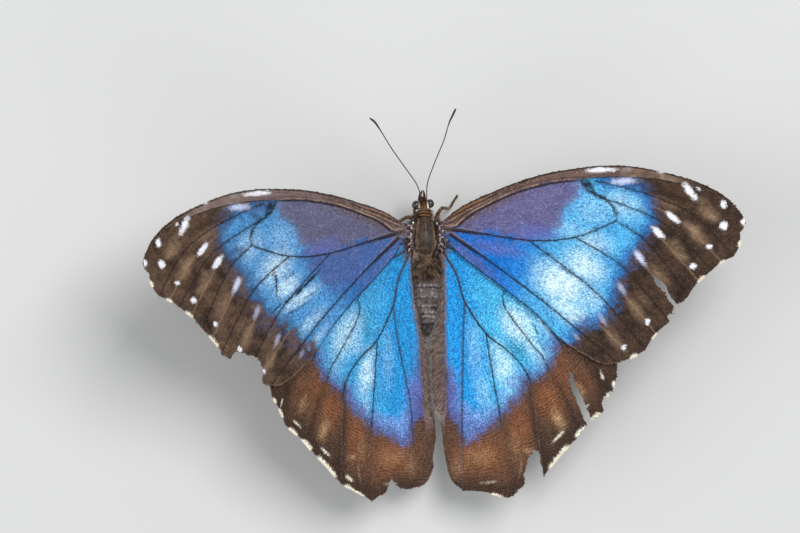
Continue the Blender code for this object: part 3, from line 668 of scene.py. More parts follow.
def raised(wing, side, s, t):
    """Where flat points lie once the wings of a side are swept, lifted, bent and folded."""
    pose = WING_POSE[side]
    out, forth = swept(wing, side, s, t)
    angle = np.radians(pose["root"] - pose["twist"] * forth / TWIST_LENGTH)
    bend = math.radians(pose["tip"] - pose["root"]) / WING_SPAN
    if bend == 0:
        across, up = out * np.cos(angle), out * np.sin(angle)
    else:
        across = (np.sin(angle + bend * out) - np.sin(angle)) / bend
        up = (np.cos(angle) - np.cos(angle + bend * out)) / bend
    height = HINGE_Z + up - fold_depth(wing, side, s, t)
    return np.stack([SIDES[side] * (HINGE_X + across), forth, height], axis=-1)


def wing_frame(wing, side, s, t):
    """Points of the middle surface, with its unit directions along s, along t and up."""
    step = 0.05
    ds = raised(wing, side, s + step, t) - raised(wing, side, s - step, t)
    dt = raised(wing, side, s, t + step) - raised(wing, side, s, t - step)
    up = SIDES[side] * np.cross(ds, dt)
    unit = [v / np.linalg.norm(v, axis=-1, keepdims=True) for v in (ds, dt, up)]
    middle = raised(wing, side, s, t) + unit[2] * WING_LIFT[wing]
    return middle, *unit


# ------------------------------------------------------------ wing outlines and veins

# Step along an outline, how far the membrane stays inside its fringe, and how ragged a torn edge is
OUTLINE_STEP = 0.3
EDGE_INSET = 0.22
TORN_RAGGED = 0.22
# Veins that have a fold line in the cell between each and the next
CREASED_VEINS = {"fore": ("M1", "M2", "M3", "CuA1", "CuA2", "2A"), "hind": ("Rs", "M1", "M2", "M3", "CuA1")}


def scallop(start, end, dip, steps=9):
    """Points between two vein ends, drawn inwards by up to dip."""
    along = (end - start) / np.linalg.norm(end - start)
    inwards = np.array((along[1], -along[0]))
    u = np.linspace(0, 1, steps + 1)[1:-1, None]
    return start * (1 - u) + end * u + inwards * dip * np.sin(math.pi * u)


def wing_edges(wing, side):
    """The flat outline as (points, kinds): costa, margin, torn and inner stretches, clockwise."""
    if wing == "fore":
        front, rear = FORE_ROOT_EDGE
        costa, inner = [(FORE_ROOT[side], front), *COSTA[wing]], [*FORE_INNER, (FORE_ROOT[side], rear)]
    else:
        costa, inner = COSTA[wing], HIND_INNER[side]
        if side == "left":
            costa = [costa[0], *HUMERAL_LOBE, *costa[2:]]
    names = [name for name, end, dip in MARGIN[wing]]
    torn = {start: (stop, points) for (start, stop), points in TEARS[wing, side].items()}
    stretches = [("costa", smooth_line([*costa, MARGIN[wing][0][1]], 6))]
    i = 0
    while i < len(names) - 1:
        name, start, dip = MARGIN[wing][i]
        if name in torn:
            stop, points = torn[name]
            i = names.index(stop)
            stretches.append(("torn", np.array([start, *points, MARGIN[wing][i][1]])))
        else:
            i += 1
            end = np.array(MARGIN[wing][i][1])
            stretches.append(("margin", np.vstack([start, scallop(np.array(start), end, dip), end])))
    stretches.append(("inner", smooth_line([MARGIN[wing][-1][1], *inner], 6)))
    points, kinds = [], []
    for kind, line in stretches:
        fine = resampled(line, OUTLINE_STEP)[:-1]
        if kind == "torn":
            fine[1:, 0] += TORN_RAGGED * noise(fine[1:, 0] * 7, fine[1:, 1] * 7, 3.0, 5)
            fine[1:, 1] += TORN_RAGGED * noise(fine[1:, 0] * 7, fine[1:, 1] * 7, 3.0, 6)
        points.append(fine)
        kinds += [kind] * len(fine)
    return np.vstack(points), np.array(kinds)


def inset(points, kinds):
    """The outline drawn in by the width of the fringe, less where it is torn or at the root."""
    along = np.roll(points, -1, axis=0) - np.roll(points, 1, axis=0)
    along /= np.linalg.norm(along, axis=1, keepdims=True) + 1e-9
    inwards = np.stack([along[:, 1], -along[:, 0]], axis=1)
    depth = np.where(kinds == "torn", 0.05, np.where(kinds == "margin", EDGE_INSET, 0.1))
    return points + inwards * depth[:, None], -inwards


def vein_lines(wing, side, outline):
    """Each vein's name, fine flat line within the outline, and radius along it."""
    veins = dict(VEINS[wing])
    if wing == "hind":
        veins["CuA2"] = ANAL_VEIN[side]
    lines = []
    for name, (points, root, end) in veins.items():
        line = resampled(smooth_line(points, 8), 0.5)
        share = np.linspace(0, 1, len(line))
        radius = root + (end - root) * share ** 0.6
        last = len(line)
        while not inside(*line[last - 1], outline):
            last -= 1
        lines.append((name, line[:last], radius[:last]))
    return lines


def vein_distance(s, t, lines):
    """Distance from flat points to the nearest vein."""
    best = np.full(np.shape(s), np.inf)
    for name, line, radius in lines:
        coarse = line[::3] if len(line) % 3 == 1 else np.vstack([line[::3], line[-1:]])
        best = np.minimum(best, line_distance(s, t, coarse))
    return best


def crease_lines(wing):
    """Fold lines down the middle of each cell between neighbouring veins of the margin."""
    u = np.linspace(0.35, 0.97, 8)
    middles = []
    for name in CREASED_VEINS[wing]:
        line = smooth_line(VEINS[wing][name][0], 8)
        share = np.linspace(0, 1, len(line))
        middles.append(np.stack([np.interp(u, share, line[:, k]) for k in (0, 1)], axis=1))
    return [(a + b) / 2 for a, b in zip(middles, middles[1:])]


def crease_distance(wing, s, t):
    """Distance from flat points to the nearest fold line."""
    return np.min([line_distance(s, t, crease) for crease in crease_lines(wing)], axis=0)


def relief(s, t, near_vein):
    """Height of the membrane over its middle surface: it stands up a little along the veins."""
    ripple = 0.05 * noise(s, t, 3.0, 21) + 0.03 * noise(s, t, 1.1, 22)
    return 0.10 * bell(near_vein, 0.9) - 0.05 + ripple


# ------------------------------------------------------------ wing markings

# Period of the fine cross lines of the hindwings, and depth of the white margin
STRIATION = 0.62
FRINGE_WHITE = {"fore": 0.85, "hind": 1.05}
# How far the rear of a forewing's blue is worn back on each side
FORE_WORN = {"right": 0.0, "left": 2.2}
# How far the edge of a forewing's blue runs in and out in streaks
FORE_FRAYED = {"right": 0.4, "left": 1.2}


def brown_ground(side, wide, streak, grain):
    """The brown border of an upper face, with darker and tan scales mixed in."""
    colour = paint(SIDE_INK[side]["brown"], INK["deep"], 0.25 + 0.45 * wide + 0.35 * streak)
    return painted(
        colour * (0.66 + 0.62 * grain[2])[:, None],
        ("deep", 0.45 * flecks(grain[1], 0.2, 0.1)),
        ("tan", 0.1 * flecks(1 - grain[1], 0.14, 0.1)),
    )


def blue_flecks(tone, pale, grain):
    """Darker scales among the blue ones, and brighter ones as painted glints."""
    tone = tone * (0.72 + 0.52 * grain[2])[:, None]
    tone = paint(tone, INK["dusk"], 0.72 * flecks(grain[1], 0.22, 0.1) * (1 - 0.7 * pale))
    # Painted glints: a share of the scales made brighter
    return tone * (1 + 0.35 * flecks(1 - grain[1], 0.16, 0.1))[:, None]


def blue_cover(depth, wide, fine, grain):
    """Blue thins out towards the brown: (cover, how dark what is left of it is)."""
    soft = smoothstep(-2.2, 1.5, depth + 0.7 * wide + 0.7 * fine)
    cover = 0.4 * soft + 0.6 * speckled(soft, grain[0], 0.3)
    return cover, 0.62 + 0.38 * smoothstep(-0.5, 3.5, depth + 0.6 * wide)


def root_hair(reach, turn):
    """Streaked mauve and near-black scales where a wing joins the body."""
    streak = noise(0.3 * reach, turn * 16, 1.0, 72)
    return painted(
        INK["root"],
        ("deep", smoothstep(-0.25, 0.25, streak)),
        ("frost", 0.35 * smoothstep(0.35, 0.6, -streak)),
    )


def margin_gaps(wing, s, t):
    """0 where a vein meets the margin, 1 between the veins."""
    away = np.min([np.hypot(s - a, t - b) for a, b in MARGIN_ENDS[wing]], axis=0)
    return smoothstep(0.3, 0.8, away + 0.4 * noise(s, t, 0.8, 71))


def pale_stretches(wing, s, t, far, close):
    """1 along the pale stretches of the margin, 0 away from them and where the veins meet it."""
    near = np.zeros(len(s))
    for at_s, at_t, reach in WHITE_FRINGE[wing]:
        near = np.maximum(near, smoothstep(reach * far, reach * close, np.hypot(s - at_s, t - at_t)))
    return near * margin_gaps(wing, s, t)


def white_rim(wing, s, t, grain):
    """How white the scales are along the pale stretches of the margin."""
    rim = line_distance(s, t, smooth_line(MARGIN_ENDS[wing], 6))
    depth = FRINGE_WHITE[wing]
    edge = smoothstep(depth + 0.3, depth - 0.1, rim + 0.5 * (grain[0] - 0.5))
    return pale_stretches(wing, s, t, 1.2, 0.8) * edge


def upper_noise(s, t, seed):
    """Broad and fine blobs, and reach, turn and streaks as seen from the wing's root."""
    wide = noise(s, t, 2.6, seed)
    fine = noise(s, t, 0.9, seed + 1)
    reach, turn = np.hypot(s + 1.0, t + 1.0), np.arctan2(t + 1.0, s + 1.0)
    return wide, fine, reach, turn, noise(reach, turn * 60, 1.6, seed + 2)


def fore_cell(side, s, cubital, radial, wide, fine, grain):
    """Colour of the dull field over a forewing's cell."""
    blue_share = {"right": 0.85, "left": 0.65}[side]
    return painted(
        SIDE_INK[side]["cell"],
        ("cell blue", blue_share * smoothstep(4.2, 1.4, cubital + wide) * smoothstep(14.0, 20.0, s)),
        ("cell brown", 0.85 * smoothstep(-2.6, -0.6, radial + 0.5 * fine) * smoothstep(24.0, 12.0, s)),
        ("cell brown", 0.5 * smoothstep(9.0, 4.0, s)),
        ("deep", 0.25 * flecks(grain[1], 0.18)),
        ("lilac", 0.14 * flecks(1 - grain[1], 0.1)),
    )


def fore_front(side, s, subcosta, fine, streak, grain):
    """Colour of the strip along a forewing's leading edge."""
    return painted(
        INK["costa"],
        ("orange", smoothstep(13.0, 6.0, s) * smoothstep(0.0, 0.3, subcosta) * (0.85 + 0.3 * fine)),
        ("deep", 0.35 * flecks(grain[1], 0.25) + 0.3 * streak),
        ("tan", 0.3 * flecks(1 - grain[1], 0.2)),
        (SIDE_INK[side]["brown"], 0.6 * smoothstep(30.0, 40.0, s) * smoothstep(60.0, 46.0, s)),
        ("tan", 0.6 * smoothstep(36.0, 44.0, s) * (0.6 + 0.6 * streak + 0.3 * (grain[0] - 0.5))),
        ("frost", 0.75 * smoothstep(0.1, 0.6, streak + 0.4 * fine) * band(s, 41.0, 9.0, 3.0)),
        ("frost", {"right": 0.06, "left": 0.28}[side]),
    )


def fore_blue(side, s, t, depth, dimmed, pale, wide, fine, streak, near_vein, grain):
    """Colour of a forewing's blue field, outside its cell."""
    own = SIDE_INK[side]
    if side == "right":
        edge = "edge blue", 0.6 * smoothstep(2.6, 0.2, depth + 0.9 * fine + 0.7 * wide)
        shade = "mauve", marks(s, t, MAUVE_SPOTS, 0.8, 0.3 * fine)
    else:
        edge = "dim violet", 0.6 * smoothstep(3.6, 0.4, depth + 1.2 * fine + 1.2 * wide + 0.8 * streak)
        around = depth_within(s, t, [*SLATE_FIELD, SLATE_FIELD[0]])
        shade = own["slate"], speckled(smoothstep(-3.6, 1.8, around + wide + fine), grain[0], 0.45)
    azure = smoothstep(27.0, 15.0, s - 0.3 * t + 2 * wide + fine)
    tone = painted(own["fore sky"], (own["fore azure"], azure), ("pale", pale), edge)
    strip = line_distance(s, t, SLATE_STRIP)
    tone = painted(
        tone * (dimmed * (1 - 0.2 * bell(near_vein, 0.7)))[:, None],
        shade,
        (own["slate"], 0.85 * smoothstep(1.6, 0.6, strip + 0.4 * fine) * smoothstep(16, 8, s)),
    )
    return blue_flecks(tone, pale, grain)


def fore_upper(side, s, t, near_vein, grain):
    """Upper face of a forewing: (colour, gloss)."""
    wide, fine, reach, turn, streak = upper_noise(s, t, 1)
    mottle = noise(s, t, 0.55, 4)
    rough = 0.35 * fine + 0.5 * (grain[0] - 0.5)
    cubital, radial, subcosta, anal = (
        line_side(s, t, smooth_line(VEINS["fore"][name][0], 6)) for name in ("Cu", "R", "Sc", "2A"))

    depth = depth_within(s, t, BLUE_EDGE["fore", side], BLUE_BACK["fore"])
    worn_edge = FORE_WORN[side] * smoothstep(-8.0, -13.0, t) * smoothstep(9.0, 3.0, depth)
    blue, dimmed = blue_cover(depth - worn_edge + FORE_FRAYED[side] * streak, wide, fine, grain)
    tan = marks(s, t, TAN_SPOTS["fore"], 0.8, 0.3 * streak)
    tan = tan * (0.85 + 0.3 * streak + 0.25 * fine + 0.35 * mottle)
    colour = painted(
        brown_ground(side, wide, streak, grain) * (1 + 0.22 * mottle)[:, None],
        ("tan", 0.75 * tan * (0.7 + 0.6 * grain[0])),
        ("dim violet", 0.4 * smoothstep(-3.2, -0.8, depth + fine) * flecks(grain[0], 0.45, 0.2)),
    )

    # Pale patches: lighter blue with painted highlight
    pale = marks(s, t, PALE_BLUE_AND_HIGHLIGHT["fore", side], 0.85) * (0.9 + 0.3 * fine + 0.3 * (grain[2] - 0.5))
    tone = fore_blue(side, s, t, depth, dimmed, pale, wide, fine, streak, near_vein, grain)
    within = depth_within(s, t, [*CELL_FIELD, CELL_FIELD[0]])
    cell = smoothstep(-2.2, 1.6, within + 0.9 * wide + 0.8 * fine)
    cell = 0.5 * cell + 0.5 * speckled(cell, grain[0], 0.3)
    dull = fore_cell(side, s, cubital, radial, wide, fine, grain)
    tone = painted(
        tone,
        (dull * (0.75 + 0.38 * grain[2] + 0.1 * streak)[:, None], cell),
        ("deep", marks(s, t, SCRATCHES["fore", side], 0.5, rough)),
    )

    ahead = smoothstep(-0.1, 0.1, radial)
    front = line_distance(s, t, smooth_line(COSTA["fore"], 6))
    # Patches where the painted vein highlights below are broken
    ridge_patches = smoothstep(-0.8, 0.2, noise(s, t, 1.4, 73))
    inner_half = smoothstep(6.0, 10.0, s) * smoothstep(34.0, 28.0, s)
    colour = painted(
        colour,
        (tone, blue),
        (fore_front(side, s, subcosta, fine, streak, grain), ahead * smoothstep(57.0, 48.0, s)),
        ("deep", 0.95 * band(subcosta, 0.38, 0.17) * smoothstep(26.0, 14.0, s)),
        # Painted highlights: a pale line inside the leading edge and along the top of the Sc vein
        ("ridge", 0.6 * ridge_patches * band(front, 0.9, 0.06) * inner_half),
        ("ridge", 0.8 * ridge_patches * band(subcosta, 0.0, 0.1) * smoothstep(16.0, 10.0, s)),
        # Painted shadow just behind the Sc and R veins
        ("deep", 0.85 * band(subcosta, -0.4, 0.12) * smoothstep(13.0, 8.0, s)),
        ("deep", 0.95 * band(radial, -0.42, 0.2) * smoothstep(34.0, 28.0, s)),
        # Painted highlight along the top of the R vein
        ("ridge", 0.8 * ridge_patches * band(radial, 0.05, 0.12) * smoothstep(32.0, 24.0, s)),
        ("deep", 0.6 * band(radial, 0.42, 0.1) * smoothstep(40.0, 30.0, s)),
        ("deep", 0.95 * smoothstep(0.6, 0.35, front)),
        ("deep", marks(s, t, DARK_SPOTS["fore"], 0.7, rough)),
        ("vein", 0.75 * smoothstep(0.26, 0.12, near_vein) * (1 - ahead)),
    )
    near_root = smoothstep(13.0, 5.0, s)
    # Painted highlight just in front of the Cu and 2A veins near the root, painted shadow behind them
    for away in (cubital, anal):
        colour = painted(
            colour,
            ("frost", 0.75 * band(away, 0.34, 0.07) * near_root),
            ("deep", 0.95 * band(away, -0.25, 0.3) * near_root),
        )
    rear = line_distance(s, t, smooth_line([MARGIN_ENDS["fore"][-1], *FORE_INNER], 6))
    spots = marks(s, t, WHITE_SPOTS["fore", side], 0.4, 0.8 * rough)
    margin = white_rim("fore", s, t, grain)
    colour = painted(
        colour,
        ("tan", 0.4 * smoothstep(0.24, 0.08, crease_distance("fore", s, t)) * (1 - blue)),
        # Painted shadow along the forewing's rear edge near the root, painted highlight along that edge
        # further out
        ("deep", 0.9 * smoothstep(0.5, 0.2, rear) * smoothstep(30.0, 20.0, s)),
        ("tan", 0.6 * smoothstep(0.4, 0.15, rear) * smoothstep(24.0, 32.0, s)),
        ("lilac", marks(s, t, LILAC_SPOTS, 0.7, 0.8 * rough)),
        ("white", spots),
        ("cream", margin),
        (root_hair(reach, turn), 0.85 * smoothstep(3.2, 1.0, s + 0.8 * fine)),
    )
    return colour, blue * (1 - 0.7 * cell) * (1 - ahead) * (1 - np.maximum(spots, margin))


def hind_upper(side, s, t, near_vein, grain):
    """Upper face of a hindwing: (colour, gloss)."""
    own = SIDE_INK[side]
    wide, fine, reach, turn, streak = upper_noise(s, t, 11)
    ripple = np.sin(math.tau * (reach + 0.35 * wide + 0.12 * fine) / STRIATION)
    rough = 0.35 * fine + 0.5 * (grain[0] - 0.5)
    rim = line_distance(s, t, MARGIN_ENDS["hind"])
    tan = marks(s, t, TAN_SPOTS["hind"], 0.85, 0.3 * streak) * (0.8 + 0.3 * streak + 0.2 * fine)
    colour = painted(
        brown_ground(side, wide, streak, grain),
        ("border", 0.8),
        ("rust", marks(s, t, RUST_SPOTS, 0.95, 0.2 * fine) * (0.95 + 0.2 * fine)),
        ("deep", 0.55 * smoothstep(5.5, 0.8, rim + 0.8 * wide)),
        ("bright tan", 0.9 * tan * (0.75 + 0.5 * grain[0])),
        ("deep", 0.35 * flecks(grain[1], 0.18)),
    )
    colour = colour * (1 + 0.4 * ripple + 0.45 * (grain[2] - 0.5) + 0.18 * noise(s, t, 0.55, 14))[:, None]

    depth = depth_within(s, t, BLUE_EDGE["hind", side], BLUE_BACK["hind"])
    blue, dimmed = blue_cover(depth, wide, fine + 0.2 * ripple, grain)
    # Pale patches: lighter blue with painted highlight
    pale = marks(s, t, PALE_BLUE_AND_HIGHLIGHT["hind", side], 0.85)
    pale = pale * (0.9 + 0.3 * fine + 0.3 * (grain[2] - 0.5) + 0.1 * ripple)
    outer, low = smoothstep(-16.0, -24.0, t), smoothstep(-34.0, -41.0, t)
    haze = smoothstep(4.0, 1.0, depth + 0.9 * fine + 0.8 * wide - 2.0 * low)
    tone = painted(
        own["hind sky"],
        (own["hind azure"], smoothstep(12.0, 5.0, s + 0.1 * (t + 20) + 1.4 * wide + fine)),
        ("pale", 0.85 * pale),
        ("haze", haze * (0.25 + 0.25 * outer + 0.3 * low)),
        ("violet", 0.6 * smoothstep(2.4, 0.0, depth + 0.9 * fine + 0.6 * wide)),
        ("dim violet", 0.7 * smoothstep(2.8, 0.6, s) * smoothstep(-20.0, -30.0, t)),
        ("violet", 0.8 * smoothstep(5.5, 2.0, s + 0.6 * fine) * smoothstep(-27.0, -34.0, t)),
    )
    tone = tone * (dimmed * (1 - 0.2 * bell(near_vein, 0.7)))[:, None]
    teal = marks(s, t, TEAL_PATCH[side], 0.8) * smoothstep(-0.3, 0.5, ripple + grain[0])
    tone = blue_flecks(paint(tone, INK["teal"], teal), pale, grain) * (1 + 0.17 * ripple)[:, None]
    tone = paint(tone, INK["teal"], marks(s, t, SCRATCHES["hind", side], 0.5, rough))

    hang = fold_line(side, t) - s
    fold = smoothstep(-0.12, 0.12, hang + 0.12 * fine) * smoothstep(-44.5, -39.0, t)
    strip = INK["fold"] * (1 + 0.22 * fine + 0.25 * (grain[2] - 0.5) + 0.15 * wide)[:, None]
    strip = paint(strip, INK["deep"], 0.4 * flecks(grain[1], 0.2))
    from_inner = s - inner_edge(side, t)
    white = np.maximum(marks(s, t, WHITE_SPOTS["hind", side], 0.5, rough), white_rim("hind", s, t, grain))
    colour = painted(
        colour,
        (tone, blue),
        (strip, fold),
        ("dim violet", 0.35 * band(hang, -0.3, 0.25, 0.3) * blue),
        # Painted shade along the inner edge of the hanging strip, towards the back
        ("deep", 0.7 * smoothstep(0.5, 0.15, from_inner) * smoothstep(-46.0, -40.0, t)),
        ("deep", marks(s, t, DARK_SPOTS["hind"], 0.9) * (0.9 + 0.3 * fine)),
        ("vein", 0.7 * smoothstep(0.25, 0.12, near_vein) * (0.3 + 0.7 * blue)),
        ("deep", 0.3 * smoothstep(0.26, 0.08, crease_distance("hind", s, t)) * (1 - blue)),
        ("cream", white),
        (root_hair(reach, turn), 0.85 * smoothstep(4.4, 2.0, reach + 0.8 * fine)),
    )
    return colour, blue * (1 - fold) * (1 - white)


# Eye spots of the under side: s, t, radius
OCELLI = {
    "fore": [(55.5, 2.0, 1.7), (47.2, -8.4, 2.6), (41.6, -15.0, 2.7), (36.8, -20.6, 1.4)],
    "hind": [(30.2, -24.0, 3.6), (25.6, -36.2, 2.0), (17.6, -42.4, 3.0), (9.4, -44.2, 3.2)],
}
# Pale bars of the under side: reach from the wing's root, and half width
UNDER_BARS = [(14.0, 1.0), (21.0, 0.7), (33.5, 0.8)]


def under(wing, s, t, near_vein):
    """Under face of a wing: bronze brown with pale bars, eye spots and lined borders."""
    wide = noise(s, t, 2.6, 31)
    fine = noise(s, t, 0.7, 32)
    speck = noise(s, t, 0.34, 33)
    base_s, base_t = WING_BASE[wing]
    reach = np.hypot(s - base_s, t - base_t) - 1.2 * wide - 0.8 * np.sin(np.arctan2(t, s) * 9)
    colour = paint(INK["bronze"], INK["umber"], 0.45 + 0.4 * wide)
    for at, width in UNDER_BARS:
        colour = paint(colour, INK["silver"], 0.7 * smoothstep(width, width * 0.3, np.abs(reach - at)))
    rim = line_distance(s, t, MARGIN_ENDS[wing])
    colour = painted(
        colour,
        ("umber", 0.6 * smoothstep(5.4, 4.4, rim + 0.5 * fine)),
        ("silver", 0.7 * smoothstep(0.5, 0.2, np.abs(rim - 3.4 + 0.3 * wide))),
        ("ochre", 0.7 * smoothstep(0.45, 0.15, np.abs(rim - 1.9 + 0.2 * wide))),
    )
    for at_s, at_t, radius in OCELLI[wing]:
        away = np.hypot(s - at_s, t - at_t) / radius
        pupil = np.hypot(s - at_s - 0.12 * radius, t - at_t + 0.08 * radius) / radius
        colour = painted(
            colour,
            ("silver", 0.8 * smoothstep(1.35, 1.2, away)),
            (INK["umber"] * 0.6, smoothstep(1.18, 1.1, away)),
            ("ochre", smoothstep(1.0, 0.94, away)),
            ("black", smoothstep(0.74, 0.68, away)),
            ("pupil red", 0.7 * smoothstep(0.42, 0.36, away)),
            ("pupil white", smoothstep(0.22, 0.14, pupil)),
        )
    colour = colour * (1 + 0.2 * fine + 0.22 * speck)[:, None]
    return paint(colour, INK["umber"], 0.7 * smoothstep(0.4, 0.15, near_vein)), np.zeros(len(s))


# Brightness of the bare membrane beside the scales on it
BARE_SHADE = 0.78


def wing_colours(wing, side, face, s, t, near_vein, grain=None):
    """Colour and gloss of a wing's face; grain holds three even random rows, one value a scale.

    Without grain they are those of the bare membrane, which is darker than the scales on it.
    """
    if face == DOWN:
        return under(wing, s, t, near_vein)
    upper = fore_upper if wing == "fore" else hind_upper
    if grain is not None:
        return upper(side, s, t, near_vein, grain)
    grain = 0.5 + 0.2 * np.array([noise(s, t, 0.5, seed) for seed in (61, 62, 63)])
    colour, gloss = upper(side, s, t, near_vein, grain)
    return colour * BARE_SHADE, gloss


# ------------------------------------------------------------ wing pieces

# Thickness of a membrane, and the step and reach of the grid that it is built on
MEMBRANE = 0.14
MEMBRANE_STEP = 0.5
GRID_S = (-5, 69)
GRID_T = (-60, 18)
# How far a membrane's inner points keep from its rim
MEMBRANE_CLEAR = 0.22
# How far a vein's middle stands over the membrane's
VEIN_RISE = 0.04
# How far out the two front veins carry a painted pale highlight
PALE_VEINS = {("fore", "Sc"): 13.0, ("fore", "R"): 31.0}
# How far out the other veins are dull
DULL_VEINS = {"fore": 9.0, "hind": 15.0}


def membrane(wing, side, outline, veins, material):
    """The bare wing: a thin closed plate with its veins as raised tapering ribs."""
    rows = np.arange(*GRID_T, MEMBRANE_STEP * 0.87)
    grid_s, grid_t = np.meshgrid(np.arange(*GRID_S, MEMBRANE_STEP), rows)
    grid_s = grid_s + (np.arange(len(rows)) % 2)[:, None] * MEMBRANE_STEP / 2
    s, t = grid_s.ravel(), grid_t.ravel()
    keep = inside(s, t, outline)
    s, t = s[keep], t[keep]
    keep = line_distance(s, t, np.vstack([outline, outline[:1]])) > MEMBRANE_CLEAR
    flat = np.vstack([outline, np.stack([s[keep], t[keep]], axis=1)])
    rim = list(range(len(outline)))
    corners, _, faces, sources, _, face_sources = delaunay_2d_cdt(
        [Vector(p) for p in flat], [], [rim[::-1]], 0, 1e-5, True)
    flat = np.array(corners)
    place = {source: k for k, group in enumerate(sources) for source in group}
    rim = np.array([place[k] for k in rim])
    sheet = np.array([face for face, group in zip(faces, face_sources) if group and len(face) == 3])
    s, t = flat[:, 0], flat[:, 1]
    near = vein_distance(s, t, veins)
    middle, _, _, up = wing_frame(wing, side, s, t)
    height = relief(s, t, near)
    count = len(flat)
    points = [middle + up * (height + half)[:, None] for half in (MEMBRANE / 2, -MEMBRANE / 2)]
    following = np.roll(rim, -1)
    walls = np.vstack([np.stack([rim, following, following + count], axis=1),
                       np.stack([rim, following + count, rim + count], axis=1)])
    triangles = np.vstack([sheet, sheet[:, ::-1] + count, walls])
    if SIDES[side] < 0:
        triangles = triangles[:, ::-1]
    upper, gloss = wing_colours(wing, side, UP, s, t, near)
    lower, dull = wing_colours(wing, side, DOWN, s, t, near)
    colours, shine, triangles = [upper, lower], [gloss, dull], [triangles]
    total = 2 * count
    for name, line, radius in veins:
        rib, rib_faces, rib_colours = vein_rib(wing, side, name, line, radius)
        points.append(rib)
        triangles.append(rib_faces + total)
        colours.append(rib_colours)
        shine.append(np.zeros(len(rib)))
        total += len(rib)
    return piece(f"{wing}wing_membrane_{side}", np.vstack(points), np.vstack(triangles), material,
                 np.vstack(colours), np.concatenate(shine))


def vein_rib(wing, side, name, line, radius, sides=8):
    """A vein as a round rib that stands out of both faces of the membrane."""
    s, t = line.T
    middle, _, _, up = wing_frame(wing, side, s, t)
    centre = middle + up * (relief(s, t, np.zeros(len(s))) + VEIN_RISE)[:, None]
    across = np.cross(directions(centre), up)
    rings = [centre + radius[:, None] * (math.cos(turn) * across + math.sin(turn) * up)
             for turn in math.tau * np.arange(sides) / sides]
    points = np.vstack([np.stack(rings, axis=1).reshape(-1, 3), centre[:1], centre[-1:]])
    depth = depth_within(s, t, BLUE_EDGE[wing, side], BLUE_BACK[wing])
    brown = "hind vein" if wing == "hind" else "brown vein"
    shade = paint(INK["vein"], INK[brown], 0.8 * smoothstep(0.0, -3.0, depth))
    pale_to = PALE_VEINS.get((wing, name))
    if pale_to:
        # Painted highlight along the two front veins near the root, broken into patches
        ridge_patches = 0.35 + 0.65 * smoothstep(-0.8, 0.2, noise(s, t, 1.4, 73))
        shade = paint(shade, INK["ridge"], ridge_patches * smoothstep(pale_to + 3.0, pale_to - 3.0, s))
    if name not in ("Sc", "R"):
        shade = paint(shade, INK["dull vein"], 0.8 * smoothstep(DULL_VEINS[wing], 3.0, s - 0.2 * t))
    if (wing, name) == ("hind", "CuA2"):
        shade = paint(shade, INK["dim violet"], 0.55)
    return points, tube_faces(len(line), sides), ring_colours(shade, sides)


def tube_faces(rings, sides):
    """Triangles of a closed tube whose two end points follow its rings."""
    k = np.arange(sides)
    after = (k + 1) % sides
    faces = []
    for i in range(rings - 1):
        a, b = i * sides, (i + 1) * sides
        faces.append(np.stack([a + k, a + after, b + after], axis=1))
        faces.append(np.stack([a + k, b + after, b + k], axis=1))
    first, last = rings * sides, rings * sides + 1
    end = (rings - 1) * sides
    faces.append(np.stack([np.full(sides, first), after, k], axis=1))
    faces.append(np.stack([np.full(sides, last), end + k, end + after], axis=1))
    return np.vstack(faces)


def ring_colours(shade, sides=12):
    """A tube's colours from those along its line."""
    return np.vstack([np.repeat(shade, sides, axis=0), shade[:1], shade[-1:]])


def wing_bake(s, t):
    """Where flat points fall on the square that a wing's coat is baked on."""
    return np.stack([(s - BAKE_CORNER[0]) / BAKE_SPAN, (t - BAKE_CORNER[1]) / BAKE_SPAN], axis=1)


def repeated(faces, corners, count):
    """The faces of count like forms, each with its own run of corners."""
    return (faces[None] + corners * np.arange(count)[:, None, None]).reshape(-1, 3)


# Wing scales: rows along the reach, pitch across it, and their own size
SCALE_ROW = {"fore": 0.26, "hind": 0.24}
SCALE_PITCH = 0.235
SCALE_LENGTH = 0.44
SCALE_WIDTH = 0.27
# How much of a scale has to lie within the wing, how far it keeps from the veins, and where the rows run
SCALE_INSIDE = 0.65
SCALE_CLEAR = 0.07
SCALE_REACH = (1.0, 69.0)
SCALE_TURN = (-2.7, 1.1)
# How far the scales stray from their place and their heading, and how much coarser the under side's are
SCALE_STRAY = 0.035
SCALE_SWAY = 0.16
UNDER_COARSER = 1.5
# The square that a wing's coat is baked on: its side, its corner, and the share of it for one scale or hair
BAKE_SPAN = 76.0
BAKE_CORNER = (-6.0, -60.0)
BAKE_PATCH = 0.003
# A wing scale's five corners: forward, sideways and up, in its own length, width and tilt
SCALE_SHAPE = np.array([
    (0.0, -0.3, -0.01), (0.0, 0.3, -0.01), (1.0, 0.42, 1.0), (1.0, -0.42, 1.0), (0.55, 0.0, 1.05),
])
SCALE_FACES = np.array([(0, 1, 4), (1, 2, 4), (2, 3, 4), (3, 0, 4), (1, 0, 3), (1, 3, 2)])
# A hair's ten faces, on three corners at its root, three half way and its tip
HAIR_FACES = np.array([
    (0, 2, 1), (0, 1, 4), (0, 4, 3), (1, 2, 5), (1, 5, 4), (2, 0, 3), (2, 3, 5), (3, 4, 6), (4, 5, 6),
    (5, 3, 6),
])
# Where a hair's seven corners fall on the square that its coat is baked on, round its root
HAIR_PATCH = np.array([(-0.2, 0), (0.2, 0), (0, 0.1), (-0.2, 0.5), (0.2, 0.5), (0, 0.6), (0, 1.0)])


